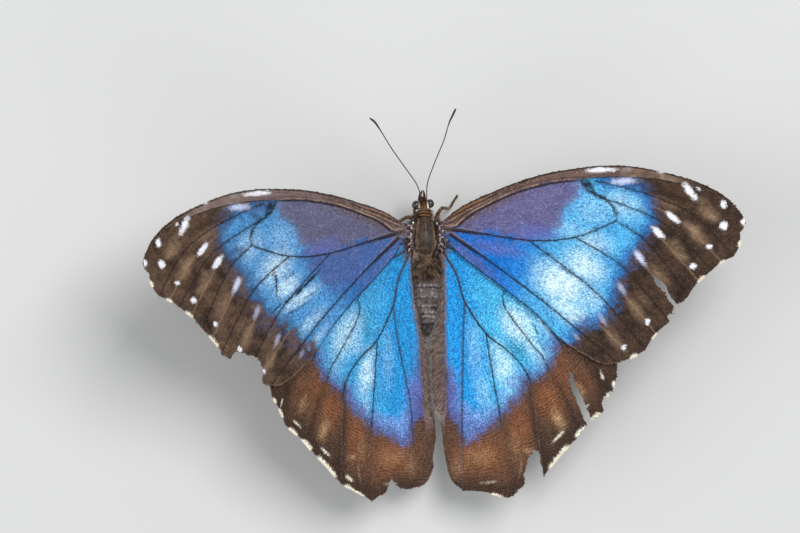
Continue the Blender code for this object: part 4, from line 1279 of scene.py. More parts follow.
def scale_coat(wing, side, face, outline, veins, material, seed):
    """Shingled wing scales in rows across the reach, each a thin closed blade lying outwards."""
    random = np.random.default_rng(seed)
    size = 1.0 if face == UP else UNDER_COARSER
    base_s, base_t = WING_BASE[wing]
    s, t = [], []
    for k, reach in enumerate(np.arange(*SCALE_REACH, SCALE_ROW[wing] * size)):
        pitch = SCALE_PITCH * size / reach
        turn = np.arange(*SCALE_TURN, pitch) + (k % 2) * 0.5 * pitch
        s.append(base_s + reach * np.cos(turn))
        t.append(base_t + reach * np.sin(turn))
    s, t = np.concatenate(s), np.concatenate(t)
    s = s + random.normal(0, SCALE_STRAY, len(s)) * size
    t = t + random.normal(0, SCALE_STRAY, len(t)) * size
    heading = np.arctan2(t - base_t, s - base_s) + random.normal(0, SCALE_SWAY, len(s))
    tip = SCALE_INSIDE * SCALE_LENGTH * size
    near = vein_distance(s, t, veins)
    keep = inside(s, t, outline) & (near > SCALE_CLEAR)
    keep &= inside(s + tip * np.cos(heading), t + tip * np.sin(heading), outline)
    s, t, near, heading = s[keep], t[keep], near[keep], heading[keep]
    count = len(s)
    colour, gloss = wing_colours(wing, side, face, s, t, near, random.random((3, count)))
    colour = colour * (1 + random.normal(0, 0.05, count))[:, None]
    middle, along_s, along_t, up = wing_frame(wing, side, s, t)
    lie = along_s * np.cos(heading)[:, None] + along_t * np.sin(heading)[:, None]
    across = np.cross(up, lie)
    surface = middle + up * (relief(s, t, near) + face * MEMBRANE / 2)[:, None]
    length = SCALE_LENGTH * size * (1 + random.normal(0, 0.12, count))
    width = SCALE_WIDTH * size * (1 + random.normal(0, 0.1, count))
    tilt = 0.085 + 0.05 * random.random(count)
    roll = random.normal(0, 0.02, count)
    corners = []
    for forward, sideways, height in SCALE_SHAPE:
        lift = face * (height * tilt + sideways * roll * 2)
        corners.append(surface + lie * (forward * length)[:, None] + across * (sideways * width)[:, None]
                       + up * lift[:, None])
    points = np.stack(corners, axis=1).reshape(-1, 3)
    faces = repeated(SCALE_FACES, len(SCALE_SHAPE), count)
    if face == UP:
        faces = faces[:, ::-1]
    bake_uv = (wing_bake(s, t)[:, None] + SCALE_SHAPE[None, :, :2] * BAKE_PATCH).reshape(-1, 2)
    colours, shine = np.repeat(colour, len(SCALE_SHAPE), axis=0), np.repeat(gloss, len(SCALE_SHAPE))
    name = f"{wing}wing_scales_{'upper' if face == UP else 'under'}_{side}"
    return piece(name, points, faces, material, colours, shine, bake_uv, smooth=False)


def spikes(name, roots, tips, widths, up, colours, material, bake_roots, bend=0.0):
    """Hairs as thin closed three-sided spikes from roots to tips, bent away from their surface."""
    count = len(roots)
    ahead = tips - roots
    ahead = ahead / np.linalg.norm(ahead, axis=1, keepdims=True)
    across = np.cross(ahead, up)
    across /= np.linalg.norm(across, axis=1, keepdims=True) + 1e-9
    over = np.cross(across, ahead)
    half = (roots + tips) / 2 + over * np.broadcast_to(bend, count)[:, None]
    w = np.broadcast_to(widths, count)[:, None]
    ring = [across * w * 0.5, -across * w * 0.5, over * w * 0.6]
    corners = [*(roots + r for r in ring), *(half + 0.75 * r for r in ring), tips]
    points = np.stack(corners, axis=1).reshape(-1, 3)
    bake_uv = (bake_roots[:, None] + HAIR_PATCH[None] * BAKE_PATCH).reshape(-1, 2)
    faces = repeated(HAIR_FACES, len(HAIR_PATCH), count)
    colours = np.repeat(colours, len(HAIR_PATCH), axis=0)
    return piece(name, points, faces, material, colours, bake_uv=bake_uv, smooth=False)


def fringe(wing, side, edge, kinds, outward, veins, material, seed):
    """The hair scales along the outer margin, white where each cell's margin is white."""
    random = np.random.default_rng(seed)
    along = kinds == "margin"
    start, end = edge[along], np.roll(edge, -1, axis=0)[along]
    share = np.arange(0, 1, 0.11)[None, :, None]
    roots = (start[:, None] * (1 - share) + end[:, None] * share).reshape(-1, 2)
    outs = np.repeat(outward[along], share.size, axis=0)
    count = len(roots)
    white = pale_stretches(wing, *roots.T, 1.25, 0.9)
    length = (0.2 + 0.34 * white) * (0.8 + 0.4 * random.random(count))
    turn = random.normal(0, 0.18, count)
    c, n = np.cos(turn), np.sin(turn)
    lean = np.stack([outs[:, 0] * c - outs[:, 1] * n, outs[:, 0] * n + outs[:, 1] * c], axis=1)
    start = roots - lean * 0.15
    end = roots + lean * length[:, None]
    near = vein_distance(*start.T, veins)
    height = relief(*start.T, near) + random.normal(0, 0.05, count)
    first, _, _, up = wing_frame(wing, side, *start.T)
    last, _, _, up_end = wing_frame(wing, side, *end.T)
    brown = SIDE_INK[side]["brown"] * (1 + random.normal(0, 0.15, count))[:, None]
    colours = paint(brown, INK["cream"], white)
    tips = last + up_end * (height + random.normal(0, 0.03, count))[:, None]
    first = first + up * height[:, None]
    return spikes(f"{wing}wing_fringe_{side}", first, tips, 0.1, up, colours, material, wing_bake(*start.T))


# Hairs on the inner strip of a hindwing, and where they lie along it
FOLD_HAIRS = 1500
FOLD_HAIRS_ALONG = (-40.0, -7.0)


def fold_hairs(side, outline, material, seed):
    """Pale hairs on the inner strip of a hindwing, slanting back and in beside the abdomen."""
    random = np.random.default_rng(seed)
    t = random.uniform(*FOLD_HAIRS_ALONG, FOLD_HAIRS)
    edge = inner_edge(side, t)
    s = edge + (fold_line(side, t) - edge) * random.random(FOLD_HAIRS) ** 1.6 + 0.05
    keep = inside(s, t, outline)
    s, t = s[keep], t[keep]
    count = len(s)
    length = random.uniform(0.8, 1.3, count)
    slant = np.radians(random.normal(50, 9, count))
    start, _, _, up = wing_frame("hind", side, s, t)
    tip, _, _, tip_up = wing_frame("hind", side, s - length * np.cos(slant), t - length * np.sin(slant))
    start = start + up * (relief(s, t, np.full(count, 2.0)) + MEMBRANE / 2)[:, None]
    tip = tip + tip_up * random.uniform(0.12, 0.3, count)[:, None]
    shades = INK["fold"] * (1 + random.normal(0, 0.2, count))[:, None]
    kind = random.random(count)
    colours = painted(shades, ("cream", 0.4 * (kind < 0.25)), ("deep", 0.75 * (kind > 0.72)))
    return spikes(f"hindwing_fold_hairs_{side}", start, tip, 0.085, up, colours, material, wing_bake(s, t),
                  0.05 * length)


def make_wings():
    """Every wing's membrane, scales, fringe and hair."""
    skin = surface_material("wing_membrane", 0.6, 0.25, 0.15, 0.3, specular=0.15)
    coat = surface_material("wing_scales", 0.5, 0.12, 0.1, 0.25, gloss_share=0.3, specular=0.12)
    seed = 100
    for side in SIDES:
        for wing in ("fore", "hind"):
            points, kinds = wing_edges(wing, side)
            outline, outward = inset(points, kinds)
            veins = vein_lines(wing, side, outline)
            bare = membrane(wing, side, outline, veins, skin)
            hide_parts(f"{wing}wing_{side}")
            made = [scale_coat(wing, side, UP, outline, veins, coat, seed),
                    scale_coat(wing, side, DOWN, outline, veins, coat, seed + 1),
                    fringe(wing, side, outline, kinds, outward, veins, skin, seed + 2)]
            if wing == "hind":
                made.append(fold_hairs(side, outline, skin, seed + 3))
            seed += 10


# ------------------------------------------------------------ body: sizes shared with the solids

HEAD_CENTRE = np.array((-0.3, 6.5, 9.6))
HEAD_HALF = np.array((1.6, 1.7, 1.7))
HEAD_YAW = math.radians(6)
EYE_OFFSET = np.array((1.5, 0.15, 0.1))
EYE_RADIUS = 0.98
# An eye's facets: distance between them, and how far each bulges
FACET_SIZE = 0.07
FACET_HEIGHT = 0.01
TEGULA_CENTRE = np.array((2.6, 3.6, 10.9))
TEGULA_HALF = np.array((0.5, 0.8, 0.55))
ABDOMEN_STATIONS = [
    (4.95, 1.5, 1.3, 0.45, 9.5), (6.0, 2.45, 2.15, 0.45, 9.4), (8.5, 2.75, 2.4, 0.45, 9.2),
    (11.5, 2.65, 2.35, 0.45, 9.0), (14.1, 2.4, 2.1, 0.5, 8.8), (16.2, 2.0, 1.75, 0.7, 8.7),
    (18.4, 1.55, 1.4, 0.8, 8.6), (20.5, 0.95, 0.9, 0.8, 8.5), (21.7, 0.4, 0.4, 0.8, 8.4),
]
ANTENNA_PATHS = {
    "left": [
        (-0.95, 7.6, 11.6), (-1.9, 10.7, 13.3), (-4.8, 14.6, 15.6), (-7.8, 18.5, 17.9),
        (-10.5, 22.5, 20.0), (-11.7, 24.1, 20.8), (-12.9, 25.0, 21.5),
    ],
    "right": [
        (0.3, 7.6, 11.6), (0.3, 11.2, 13.6), (1.7, 15.7, 15.9), (3.4, 20.3, 18.2), (4.3, 23.8, 19.9),
        (5.0, 25.5, 20.7), (5.7, 27.1, 21.5),
    ],
}
LEG_PATHS = {
    "foreleg_left": [(-1.0, 2.6, 6.3), (-1.9, 5.2, 6.6), (-1.35, 7.0, 7.1)],
    "foreleg_right": [(1.0, 2.6, 6.3), (1.3, 5.2, 6.6), (0.6, 7.1, 7.1)],
    "midleg_left": [
        (-1.3, 1.2, 6.2), (-3.2, 3.9, 8.2), (-5.9, 2.4, 2.2), (-7.3, 3.0, 0.3), (-8.5, 3.9, 0.3),
    ],
    "midleg_right": [(1.9, 1.6, 6.2), (3.7, 5.6, 8.2), (6.1, 5.9, 2.2), (7.3, 7.5, 0.3), (8.1, 8.7, 0.3)],
    "hindleg_left": [
        (-1.6, -1.4, 6.0), (-4.3, -9.4, 7.8), (-7.2, -16.8, 3.2), (-8.9, -21.8, 0.3), (-9.5, -24.2, 0.3),
    ],
    "hindleg_right": [
        (2.0, -1.4, 6.0), (4.5, -9.4, 7.8), (7.4, -16.8, 3.2), (9.1, -21.8, 0.3), (9.7, -24.2, 0.3),
    ],
}
PALP_PATH = [(0.55, 7.7, 7.9), (0.4, 8.8, 8.7), (0.12, 9.6, 9.85)]
PROBOSCIS_CENTRE = np.array((-0.45, 8.35, 7.35))
PROBOSCIS_RADIUS = 0.95

# Distance between the hairs and scales of the body's coat
HAIR_SPACING = 0.15
# The skin lies this far inside the solids, under the coat
COAT_DEPTH = 0.3
ABDOMEN_COAT = 0.14
# Size of the skin's voxels, and points round one of the abdomen's rings
SKIN_VOXEL = 0.11
ABDOMEN_SIDES = 32
# Where each ring of the abdomen starts, and where each roll of the collar lies
ABDOMEN_RINGS = (-7.2, -8.9, -11.2, -13.6, -15.6, -17.0, -18.0, -19.2)
COLLAR_BANDS = (4.15, 4.8, 5.45)
# The thorax's shield as its half width along it, and the small plate behind it: place and half size
SHIELD_OUTLINE = [
    (-3.9, 0.05), (-3.5, 1.2), (-2.7, 2.0), (-1.5, 2.35), (0.5, 2.1), (2.5, 1.85), (3.6, 1.5), (4.1, 0.05),
]
SCUTELLUM = (0.25, -2.9, 1.6, 1.4)
# Knobs of the wing joints: x, y, z and radius
WING_KNOBS = [
    (2.9, 2.7, 11.0, 0.5), (3.6, 2.1, 11.25, 0.46), (4.3, 1.6, 11.4, 0.36), (3.0, 1.6, 11.1, 0.5),
    (3.7, 0.9, 11.15, 0.46), (4.4, 0.4, 11.25, 0.34), (3.1, 0.1, 10.95, 0.52), (3.8, -0.5, 10.95, 0.46),
    (4.3, -1.3, 10.95, 0.36), (3.1, -1.2, 10.85, 0.52), (3.6, -2.0, 10.75, 0.5), (3.0, -2.9, 10.6, 0.5),
    (3.6, -3.3, 10.7, 0.4), (4.2, -2.6, 10.8, 0.32),
]


# ------------------------------------------------------------ body skin

def ellipsoid(centre, half, segments=32, rings=20):
    """Points and faces of a closed egg, its poles along Y."""
    bm = bmesh.new()
    bmesh.ops.create_uvsphere(bm, u_segments=segments, v_segments=rings, radius=1.0)
    points = np.array([(v.co.x, v.co.z, -v.co.y) for v in bm.verts]) * half + centre
    faces = [[v.index for v in face.verts] for face in bm.faces]
    bm.free()
    return points, faces


def abdomen_shape():
    """The abdomen's rings, less the coat's depth."""
    rows = smooth_line(ABDOMEN_STATIONS, 6)
    turn = np.linspace(0, math.tau, ABDOMEN_SIDES, endpoint=False)
    points = []
    for y, width, height, middle, z in rows:
        wide, high = max(width - ABDOMEN_COAT, 0.1), max(height - ABDOMEN_COAT, 0.1)
        ring = middle + wide * np.cos(turn), np.full(ABDOMEN_SIDES, -y), z + high * np.sin(turn)
        points.append(np.stack(ring, axis=1))
    k = np.arange(ABDOMEN_SIDES)
    after = (k + 1) % ABDOMEN_SIDES
    faces = []
    for i in range(len(rows) - 1):
        a, b = i * ABDOMEN_SIDES, (i + 1) * ABDOMEN_SIDES
        faces += np.stack([a + k, a + after, b + after, b + k], axis=1).tolist()
    faces.append(k[::-1].tolist())
    faces.append(((len(rows) - 1) * ABDOMEN_SIDES + k).tolist())
    return np.vstack(points), faces


def turned_head(offset):
    """A place on the head, from its offset before the head turns."""
    c, n = math.cos(HEAD_YAW), math.sin(HEAD_YAW)
    x, y, z = offset
    return HEAD_CENTRE + np.array((x * c - y * n, x * n + y * c, z))


def eye_place(sign):
    """The middle of an eye."""
    return turned_head(EYE_OFFSET * (sign, 1, 1))


def knob_shape(k, sign):
    """A knob of a wing joint, every third one lying along the body and the others across it."""
    x, y, z, r = WING_KNOBS[k]
    half = (r * 1.25, r * 0.7, r * 0.85) if k % 3 else (r * 0.85, r * 1.25, r * 0.85)
    return ellipsoid((sign * x + 0.1, y, z), half, 16, 10)


def skin_shapes():
    """The closed forms whose union is the body under its coat."""
    thorax = THORAX_HALF - COAT_DEPTH
    shapes = [
        ellipsoid(THORAX_CENTRE, thorax),
        ellipsoid(THORAX_CENTRE + (0, 1.6, 0.35), thorax * (0.93, 0.55, 0.88)),
        ellipsoid(THORAX_CENTRE + (0, -2.9, 0.55), thorax * (0.72, 0.38, 0.72)),
        ellipsoid((-0.05, 4.6, 9.6), (1.5, 1.3, 1.5)),
        ellipsoid((-0.12, 5.2, 9.7), (1.2, 1.0, 1.25)),
        ellipsoid((0.35, -5.2, 9.4), (1.6, 1.6, 1.5)),
        abdomen_shape(),
        ellipsoid(HEAD_CENTRE, HEAD_HALF - 0.28),
        ellipsoid(turned_head((0, 0.75, -0.25)), (0.85, 0.95, 1.05)),
        ellipsoid(turned_head((0, 0.1, 0.75)), (0.8, 0.9, 0.75)),
    ]
    for sign in SIDES.values():
        shapes += [
            ellipsoid(TEGULA_CENTRE * (sign, 1, 1) + (0.1, 0, -0.1), TEGULA_HALF * 0.85),
            ellipsoid((sign * 2.0 + 0.2, 1.8, 10.4), (1.1, 2.0, 0.9)),
            ellipsoid((sign * 2.0 + 0.2, -2.2, 10.2), (1.1, 2.0, 0.9)),
            ellipsoid((sign * 2.6 + 0.1, -0.2, 10.3), (1.5, 3.2, 0.55)),
            *(knob_shape(k, sign) for k in range(len(WING_KNOBS))),
            ellipsoid(eye_place(sign) * 0.55 + HEAD_CENTRE * 0.45, (0.9, 0.95, 0.95)),
            ellipsoid(turned_head((sign * 0.55, 0.75, 0.95)), (0.3, 0.3, 0.34)),
            ellipsoid((sign * 1.2 + 0.2, 1.5, 7.4), (0.8, 1.3, 1.2)),
            ellipsoid((sign * 1.2 + 0.2, -1.6, 7.3), (0.8, 1.3, 1.2)),
        ]
    return shapes


def union_mesh(shapes, voxel, smoothing):
    """One skin over all the shapes: (points, triangles, normals), in millimetres."""
    bm = bmesh.new()
    for points, faces in shapes:
        verts = [bm.verts.new(p) for p in points]
        for face in faces:
            bm.faces.new([verts[k] for k in face])
    bmesh.ops.recalc_face_normals(bm, faces=bm.faces)
    mesh = bpy.data.meshes.new("union")
    bm.to_mesh(mesh)
    bm.free()
    obj = bpy.data.objects.new("union", mesh)
    bpy.context.scene.collection.objects.link(obj)
    remesh = obj.modifiers.new("remesh", "REMESH")
    remesh.mode = "VOXEL"
    remesh.voxel_size = voxel
    smooth = obj.modifiers.new("smooth", "SMOOTH")
    smooth.factor = 0.5
    smooth.iterations = smoothing
    evaluated = obj.evaluated_get(bpy.context.evaluated_depsgraph_get())
    result = evaluated.to_mesh()
    result.calc_loop_triangles()
    points = np.zeros(len(result.vertices) * 3)
    result.vertices.foreach_get("co", points)
    normals = np.zeros(len(result.vertices) * 3)
    result.vertices.foreach_get("normal", normals)
    faces = np.zeros(len(result.loop_triangles) * 3, np.int32)
    result.loop_triangles.foreach_get("vertices", faces)
    evaluated.to_mesh_clear()
    bpy.data.objects.remove(obj, do_unlink=True)
    return points.reshape(-1, 3), faces.reshape(-1, 3), normals.reshape(-1, 3)


def region(points):
    """Masks of the body's regions from 0 to 1: head, collar, thorax, abdomen."""
    y = points[:, 1]
    head = smoothstep(5.2, 5.7, y)
    abdomen = smoothstep(-4.3, -5.0, y)
    collar = smoothstep(3.7, 4.1, y) * (1 - head)
    return head, collar, 1 - head - abdomen, abdomen


def shield_reach(points):
    """0 at the middle line of the thorax's shield, 1 at its rim."""
    along, half = np.array(SHIELD_OUTLINE).T
    x, y = points[:, 0], points[:, 1]
    wide = np.interp(y, along, half, left=0.05, right=0.05)
    return np.abs(x - 0.15 + 0.05 * y) / wide


def scutellum_reach(points):
    """1 at the rim of the small plate behind the shield."""
    x, y, half_x, half_y = SCUTELLUM
    return np.hypot((points[:, 0] - x) / half_x, (points[:, 1] - y) / half_y)


def shield_notch(x, y, width):
    """The bent groove across the rear of the thorax's shield."""
    return bell(y + 1.9 + 0.6 * np.abs(x - 0.2), width) * (np.abs(x - 0.2) < 1.0)


def collar_bows(x, y):
    """Distance ahead of each bowed roll of the collar."""
    return [y - roll + 0.12 * (x + 0.1) ** 2 for roll in COLLAR_BANDS]


def body_relief(points, normals):
    """Height to add along the normals: rings, plates and sutures."""
    x, y, z = points.T
    head, collar, thorax, abdomen = region(points)
    height = np.zeros(len(points))
    for ring in ABDOMEN_RINGS:
        step = y - ring - 0.05 * np.sin(4 * x)
        height += abdomen * np.where((step > 0) & (step < 1.6), 0.10 * (1 - step / 1.6), 0.0)
        height -= abdomen * 0.07 * bell(step, 0.12)
    above = smoothstep(-0.1, 0.3, normals[:, 2])
    rim, plate = shield_reach(points), scutellum_reach(points)
    top = 0.06 * smoothstep(1.0, 0.7, rim) - 0.14 * bell(rim - 1.0, 0.07) - 0.10 * shield_notch(x, y, 0.14)
    top -= 0.05 * bell(x - THORAX_CENTRE[0], 0.12) * smoothstep(3.4, 2.6, y)
    top += 0.08 * smoothstep(1.05, 0.9, plate) * smoothstep(-2.6, -3.0, y)
    height += thorax * above * top
    height -= above * 0.10 * bell(plate - 1.1, 0.07) * smoothstep(-2.8, -3.2, y)
    for bow in collar_bows(x, y):
        height += (collar + head) * (0.10 * bell(bow - 0.16, 0.16) - 0.16 * bell(bow + 0.1, 0.09))
    return height + 0.03 * noise(x + z, y, 0.5, 41)


def body_colour(points, normals):
    """The markings of head, thorax and abdomen."""
    x, y, z = points.T
    head, collar, thorax, abdomen = region(points)
    wide = noise(x + 0.7 * z, y, 1.3, 51)
    fine = noise(x + 0.7 * z, y, 0.35, 52)
    above = smoothstep(0.0, 0.5, normals[:, 2])
    top = thorax * above

    side = np.abs(x - 0.15)
    # Wing joints: painted highlight where they face up, painted shade where they turn away
    joint = painted(
        INK["joint"],
        ("joint highlight", smoothstep(0.86, 1.02, normals[:, 2] + 0.2 * fine)),
        ("joint shade", smoothstep(0.8, 0.5, normals[:, 2] - 0.2 * fine)),
    )
    middle = x - 0.15 + 0.05 * y
    rim = shield_reach(points)
    shield = painted(
        INK["shield"],
        ("shield dark", smoothstep(-0.2, 0.6, wide + 0.8 * fine)),
        # Painted highlight on the middle of the shield
        ("shield highlight", 0.75 * bell(np.hypot((x - 0.3) / 0.7, (y + 0.4) / 1.4), 1.0)),
        ("shield rim", 0.6 * smoothstep(0.76, 0.94, rim + 0.25 * fine)),
        ("shield line", 0.55 * bell(middle, 0.1) * smoothstep(-0.6, 0.0, y) * smoothstep(3.4, 2.4, y)),
        ("shield notch", 0.85 * shield_notch(x, y, 0.13)),
    )
    plate = scutellum_reach(points)
    behind = smoothstep(-2.9, -3.2, y) * above
    neck = INK["neck"]
    for bow in collar_bows(x, y):
        neck = painted(
            neck,
            ("collar", 0.85 * bell(bow - 0.24 + 0.06 * fine, 0.075)),
            ("collar gap", 0.95 * bell(bow + 0.08, 0.13)),
        )
    colour = painted(
        INK["flank"],
        ("flank pale", smoothstep(0.15, 0.7, wide + fine)),
        ("flank dark", smoothstep(-0.1, 0.5, -wide + 0.7 * fine)),
        ("shoulder", 0.9 * thorax * smoothstep(2.6, 3.2, y) * smoothstep(1.5, 2.0, side)),
        (joint, thorax * smoothstep(2.5, 2.9, side) * smoothstep(9.9, 10.4, z)),
        (shield, top * smoothstep(1.04, 0.98, rim)),
        ("shield gap", 0.95 * top * bell(rim - 1.05, 0.05)),
        ("plate", behind * smoothstep(1.1, 0.95, plate) * thorax),
        ("plate rim", 0.9 * behind * bell(plate - 1.0, 0.06)),
        ("plate gap", 0.9 * behind * bell(plate - 1.14, 0.07)),
        (neck, collar * smoothstep(3.75, 3.95, y)),
    )

    crown = painted(
        INK["crown"],
        ("crown dark", smoothstep(-0.3, 0.4, wide + fine)),
        ("crown front", 0.6 * smoothstep(0.6, 1.2, y - HEAD_CENTRE[1])),
    )
    for sign in SIDES.values():
        dot = turned_head((sign * 0.32, -0.35, 1.5))
        eye = eye_place(sign)
        away = np.linalg.norm(points - eye, axis=1) - EYE_RADIUS
        rear = smoothstep(0.25, -0.25, y - eye[1])
        crown = painted(
            crown,
            ("crown dot", above * bell(np.hypot(x - dot[0], y - dot[1]), 0.16)),
            ("eye rim", smoothstep(0.42, 0.2, away) * (0.35 + 0.65 * rear)),
        )
    crown = paint(crown, neck, smoothstep(6.0, 5.7, y))

    ring = painted(
        INK["ring"],
        ("ring dark", smoothstep(0.0, 0.7, wide + 0.5 * fine)),
        ("ring pale", 0.6 * smoothstep(0.25, 0.8, fine)),
    )
    clump = noise(x, y, 0.95, 53) + 0.45 * fine
    rear = smoothstep(-8.8, -10.2, y)
    ground = painted(
        INK["hair"],
        ("hair dark", smoothstep(-0.1, 0.35, clump)),
        ("hair pale", 0.8 * smoothstep(0.15, 0.6, -clump)),
        (ring, rear),
    )
    for start in ABDOMEN_RINGS:
        after = y - start - 0.05 * np.sin(4 * x) + 0.1 * fine
        ground = painted(
            ground,
            # Painted highlight on the raised front of each ring
            ("ring highlight", bell(after - 0.4, 0.22) * (0.4 + 0.5 * fine) * rear),
            ("ring gap", bell(after, 0.15) * (0.4 + 0.58 * rear)),
        )
    ground = painted(
        ground,
        ("tail", 0.7 * smoothstep(-17.6, -19.6, y)),
        ("belly", 0.7 * smoothstep(0.3, -0.5, normals[:, 2])),
    )
    colour = painted(colour, (crown, head), (ground, abdomen))
    for sign in SIDES.values():
        spot = np.hypot(x - sign * 2.6, y - 2.7)
        colour = painted(
            colour,
            ("black", smoothstep(0.7, 0.45, spot) * above),
            ("joint spot", smoothstep(0.24, 0.16, spot) * above),
        )
    return colour * (1 + 0.25 * fine + 0.1 * noise(x, y, 0.18, 54))[:, None]


def body_bake(points):
    """Where skin points fall on an unwrap of the body: round its axis, and along it."""
    turn = np.arctan2(points[:, 0] - 0.2, points[:, 2] - 9.3) / math.tau + 0.5
    return np.stack([0.01 + 0.98 * turn, 0.02 + 0.96 * (points[:, 1] + 22.0) / 32.0], axis=1)


def scattered(points, faces, normals, spacing, random, keep=None):
    """Places spread over a skin by area: (points, normals)."""
    a, b, c = (points[faces[:, k]] for k in range(3))
    area = np.linalg.norm(np.cross(b - a, c - a), axis=1) / 2
    if keep is not None:
        area = area * keep((a + b + c) / 3)
    count = int(area.sum() / (spacing * spacing))
    picked = np.searchsorted(np.cumsum(area), random.random(count) * area.sum())
    u, v = random.random((2, count))
    over = u + v > 1
    u[over], v[over] = 1 - u[over], 1 - v[over]
    w = (1 - u - v)[:, None]
    u, v = u[:, None], v[:, None]
    at = a[picked] * w + b[picked] * u + c[picked] * v
    n = normals[faces[picked, 0]] * w + normals[faces[picked, 1]] * u + normals[faces[picked, 2]] * v
    return at, n / np.linalg.norm(n, axis=1, keepdims=True)


def body_coat(points, faces, normals, material):
    """Hairs and slender scales over the body, lying backwards, longest on the flanks."""
    random = np.random.default_rng(7)
    eyes = [eye_place(sign) for sign in SIDES.values()]

    def bare_of_eyes(centres):
        clear = np.ones(len(centres))
        for eye in eyes:
            clear *= np.linalg.norm(centres - eye, axis=1) > EYE_RADIUS + 0.03
        return clear

    at, up = scattered(points, faces, normals, HAIR_SPACING, random, bare_of_eyes)
    x, y, z = at.T
    knob = smoothstep(2.5, 2.9, np.abs(x - 0.15)) * smoothstep(10.0, 10.5, z) * (y > -4.2) * (y < 3.4)
    rolls = (y > 3.85) & (y < 5.75) & (up[:, 2] > 0.2)
    keep = random.random(len(at)) > np.where(rolls, 0.6, 0.86 * knob)
    at, up, knob, rolls = at[keep], up[keep], knob[keep], rolls[keep]
    count = len(at)
    y = at[:, 1]
    head, collar, thorax, abdomen = region(at)
    above = smoothstep(0.1, 0.7, up[:, 2])
    under = 1 - above
    shield = thorax * above * (shield_reach(at) < 1.0)
    hairy = abdomen * smoothstep(-10.4, -9.0, y)
    tuft = thorax * under + hairy + thorax * above * smoothstep(-3.6, -4.2, y)
    spread = (0.2 + 0.3 * tuft + 0.5 * knob)[:, None]
    back = np.array((0.0, -1.0, 0.0)) + random.normal(0, 1.0, (count, 3)) * spread
    forward = smoothstep(7.2, 7.8, y)[:, None]
    back = back * (1 - forward) + np.array((0.0, 0.5, 0.6)) * forward
    lie = back - up * (back * up).sum(1, keepdims=True)
    lie /= np.linalg.norm(lie, axis=1, keepdims=True)
    length = head * 0.36 + collar * 0.4 + thorax * (0.5 + 0.9 * under) + abdomen * (0.36 + 0.2 * under)
    length = (length + hairy * 0.65) * (1 - 0.3 * shield) * np.where(rolls, 0.55, 1.0) + 0.3 * knob
    lift = head * 0.3 + collar * 0.25 + thorax * (0.15 + 0.35 * under) + abdomen * (0.14 + 0.2 * under)
    lift = (lift + hairy * 0.3) * (1 - 0.5 * shield)
    length = length * (0.7 + 0.6 * random.random(count)) * (1 - 0.5 * smoothstep(2.8, 3.8, y) * (1 - head))
    lift = lift * (0.6 + 0.8 * random.random(count))
    tips = at + (lie + up * lift[:, None]) * length[:, None]
    shades = body_colour(at, up) * (1 + random.normal(0, 0.25, count))[:, None]
    kind = random.random(count)
    loose = np.clip(tuft + 0.5 * knob, 0, 1)
    colours = painted(
        shades,
        ("long hair pale", 0.7 * loose * (kind < 0.13)),
        ("long hair dark", 0.85 * (0.4 + 0.6 * loose) * (kind > 0.74)),
    )
    widths = 0.10 - 0.035 * np.clip(tuft + knob, 0, 1)
    roots = at - up * 0.03
    return spikes("body_coat", roots, tips, widths, up, colours, material, body_bake(at), 0.04 * length)


def make_body():
    """The skin of head, thorax and abdomen in one, and its coat."""
    skin = surface_material("body_skin", 0.6, 0.3, 0.2, 0.6)
    hair = surface_material("body_hair", 0.62, 0.4, 0.15, 0.3)
    points, faces, normals = union_mesh(skin_shapes(), SKIN_VOXEL, 6)
    points = points + normals * body_relief(points, normals)[:, None]
    bare = piece("body_skin", points, faces, skin, body_colour(points, normals), np.zeros(len(points)))
    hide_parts("head", "thorax", "abdomen", "tegula_left", "tegula_right")
    coat = body_coat(points, faces, normals, hair)


# ------------------------------------------------------------ eyes, feelers, mouth and legs

def make_eyes():
    """Compound eyes: glossy balls with a fine net of facets."""
    made, nodes, links, shader = new_material("eye")
    shader.inputs["Roughness"].default_value = 0.3
    shader.inputs["Coat Weight"].default_value = 0.3
    shader.inputs["Coat Roughness"].default_value = 0.08
    place = nodes.new("ShaderNodeTexCoord")
    facets = nodes.new("ShaderNodeTexVoronoi")
    facets.inputs["Scale"].default_value = 1.0 / (FACET_SIZE * MM)
    links.new(place.outputs["Object"], facets.inputs["Vector"])
    ramp = nodes.new("ShaderNodeValToRGB")
    ramp.color_ramp.elements[0].color = (*INK["facet"], 1)
    ramp.color_ramp.elements[1].color = (*INK["facet gap"], 1)
    links.new(facets.outputs["Distance"], ramp.inputs["Fac"])
    links.new(ramp.outputs["Color"], shader.inputs["Base Color"])
    bump = nodes.new("ShaderNodeBump")
    bump.inputs["Strength"].default_value = 0.35
    bump.inputs["Distance"].default_value = FACET_HEIGHT * MM
    bump.invert = True
    links.new(facets.outputs["Distance"], bump.inputs["Height"])
    links.new(bump.outputs["Normal"], shader.inputs["Normal"])
    for side, sign in SIDES.items():
        points, faces = ellipsoid(eye_place(sign), np.full(3, EYE_RADIUS) * (0.94, 1.0, 1.0), 64, 40)
        triangles = [(face[0], face[k], face[k + 1]) for face in faces for k in range(1, len(face) - 1)]
        ball = piece(f"eye_ball_{side}", points, triangles, made)
        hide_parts(f"eye_{side}")


def tube(line, radius, sides=12):
    """A closed limb along a fine line, with a radius at each point: (points, triangles, two side axes)."""
    ahead = directions(line)
    across = np.cross(ahead, np.array((0.03, 0.02, 1.0)))
    across /= np.linalg.norm(across, axis=1, keepdims=True)
    over = np.cross(across, ahead)
    rings = [line + radius[:, None] * (math.cos(turn) * across + math.sin(turn) * over)
             for turn in math.tau * np.arange(sides) / sides]
    points = np.vstack([np.stack(rings, axis=1).reshape(-1, 3), line[:1], line[-1:]])
    return points, tube_faces(len(line), sides)[:, ::-1], (across, over)


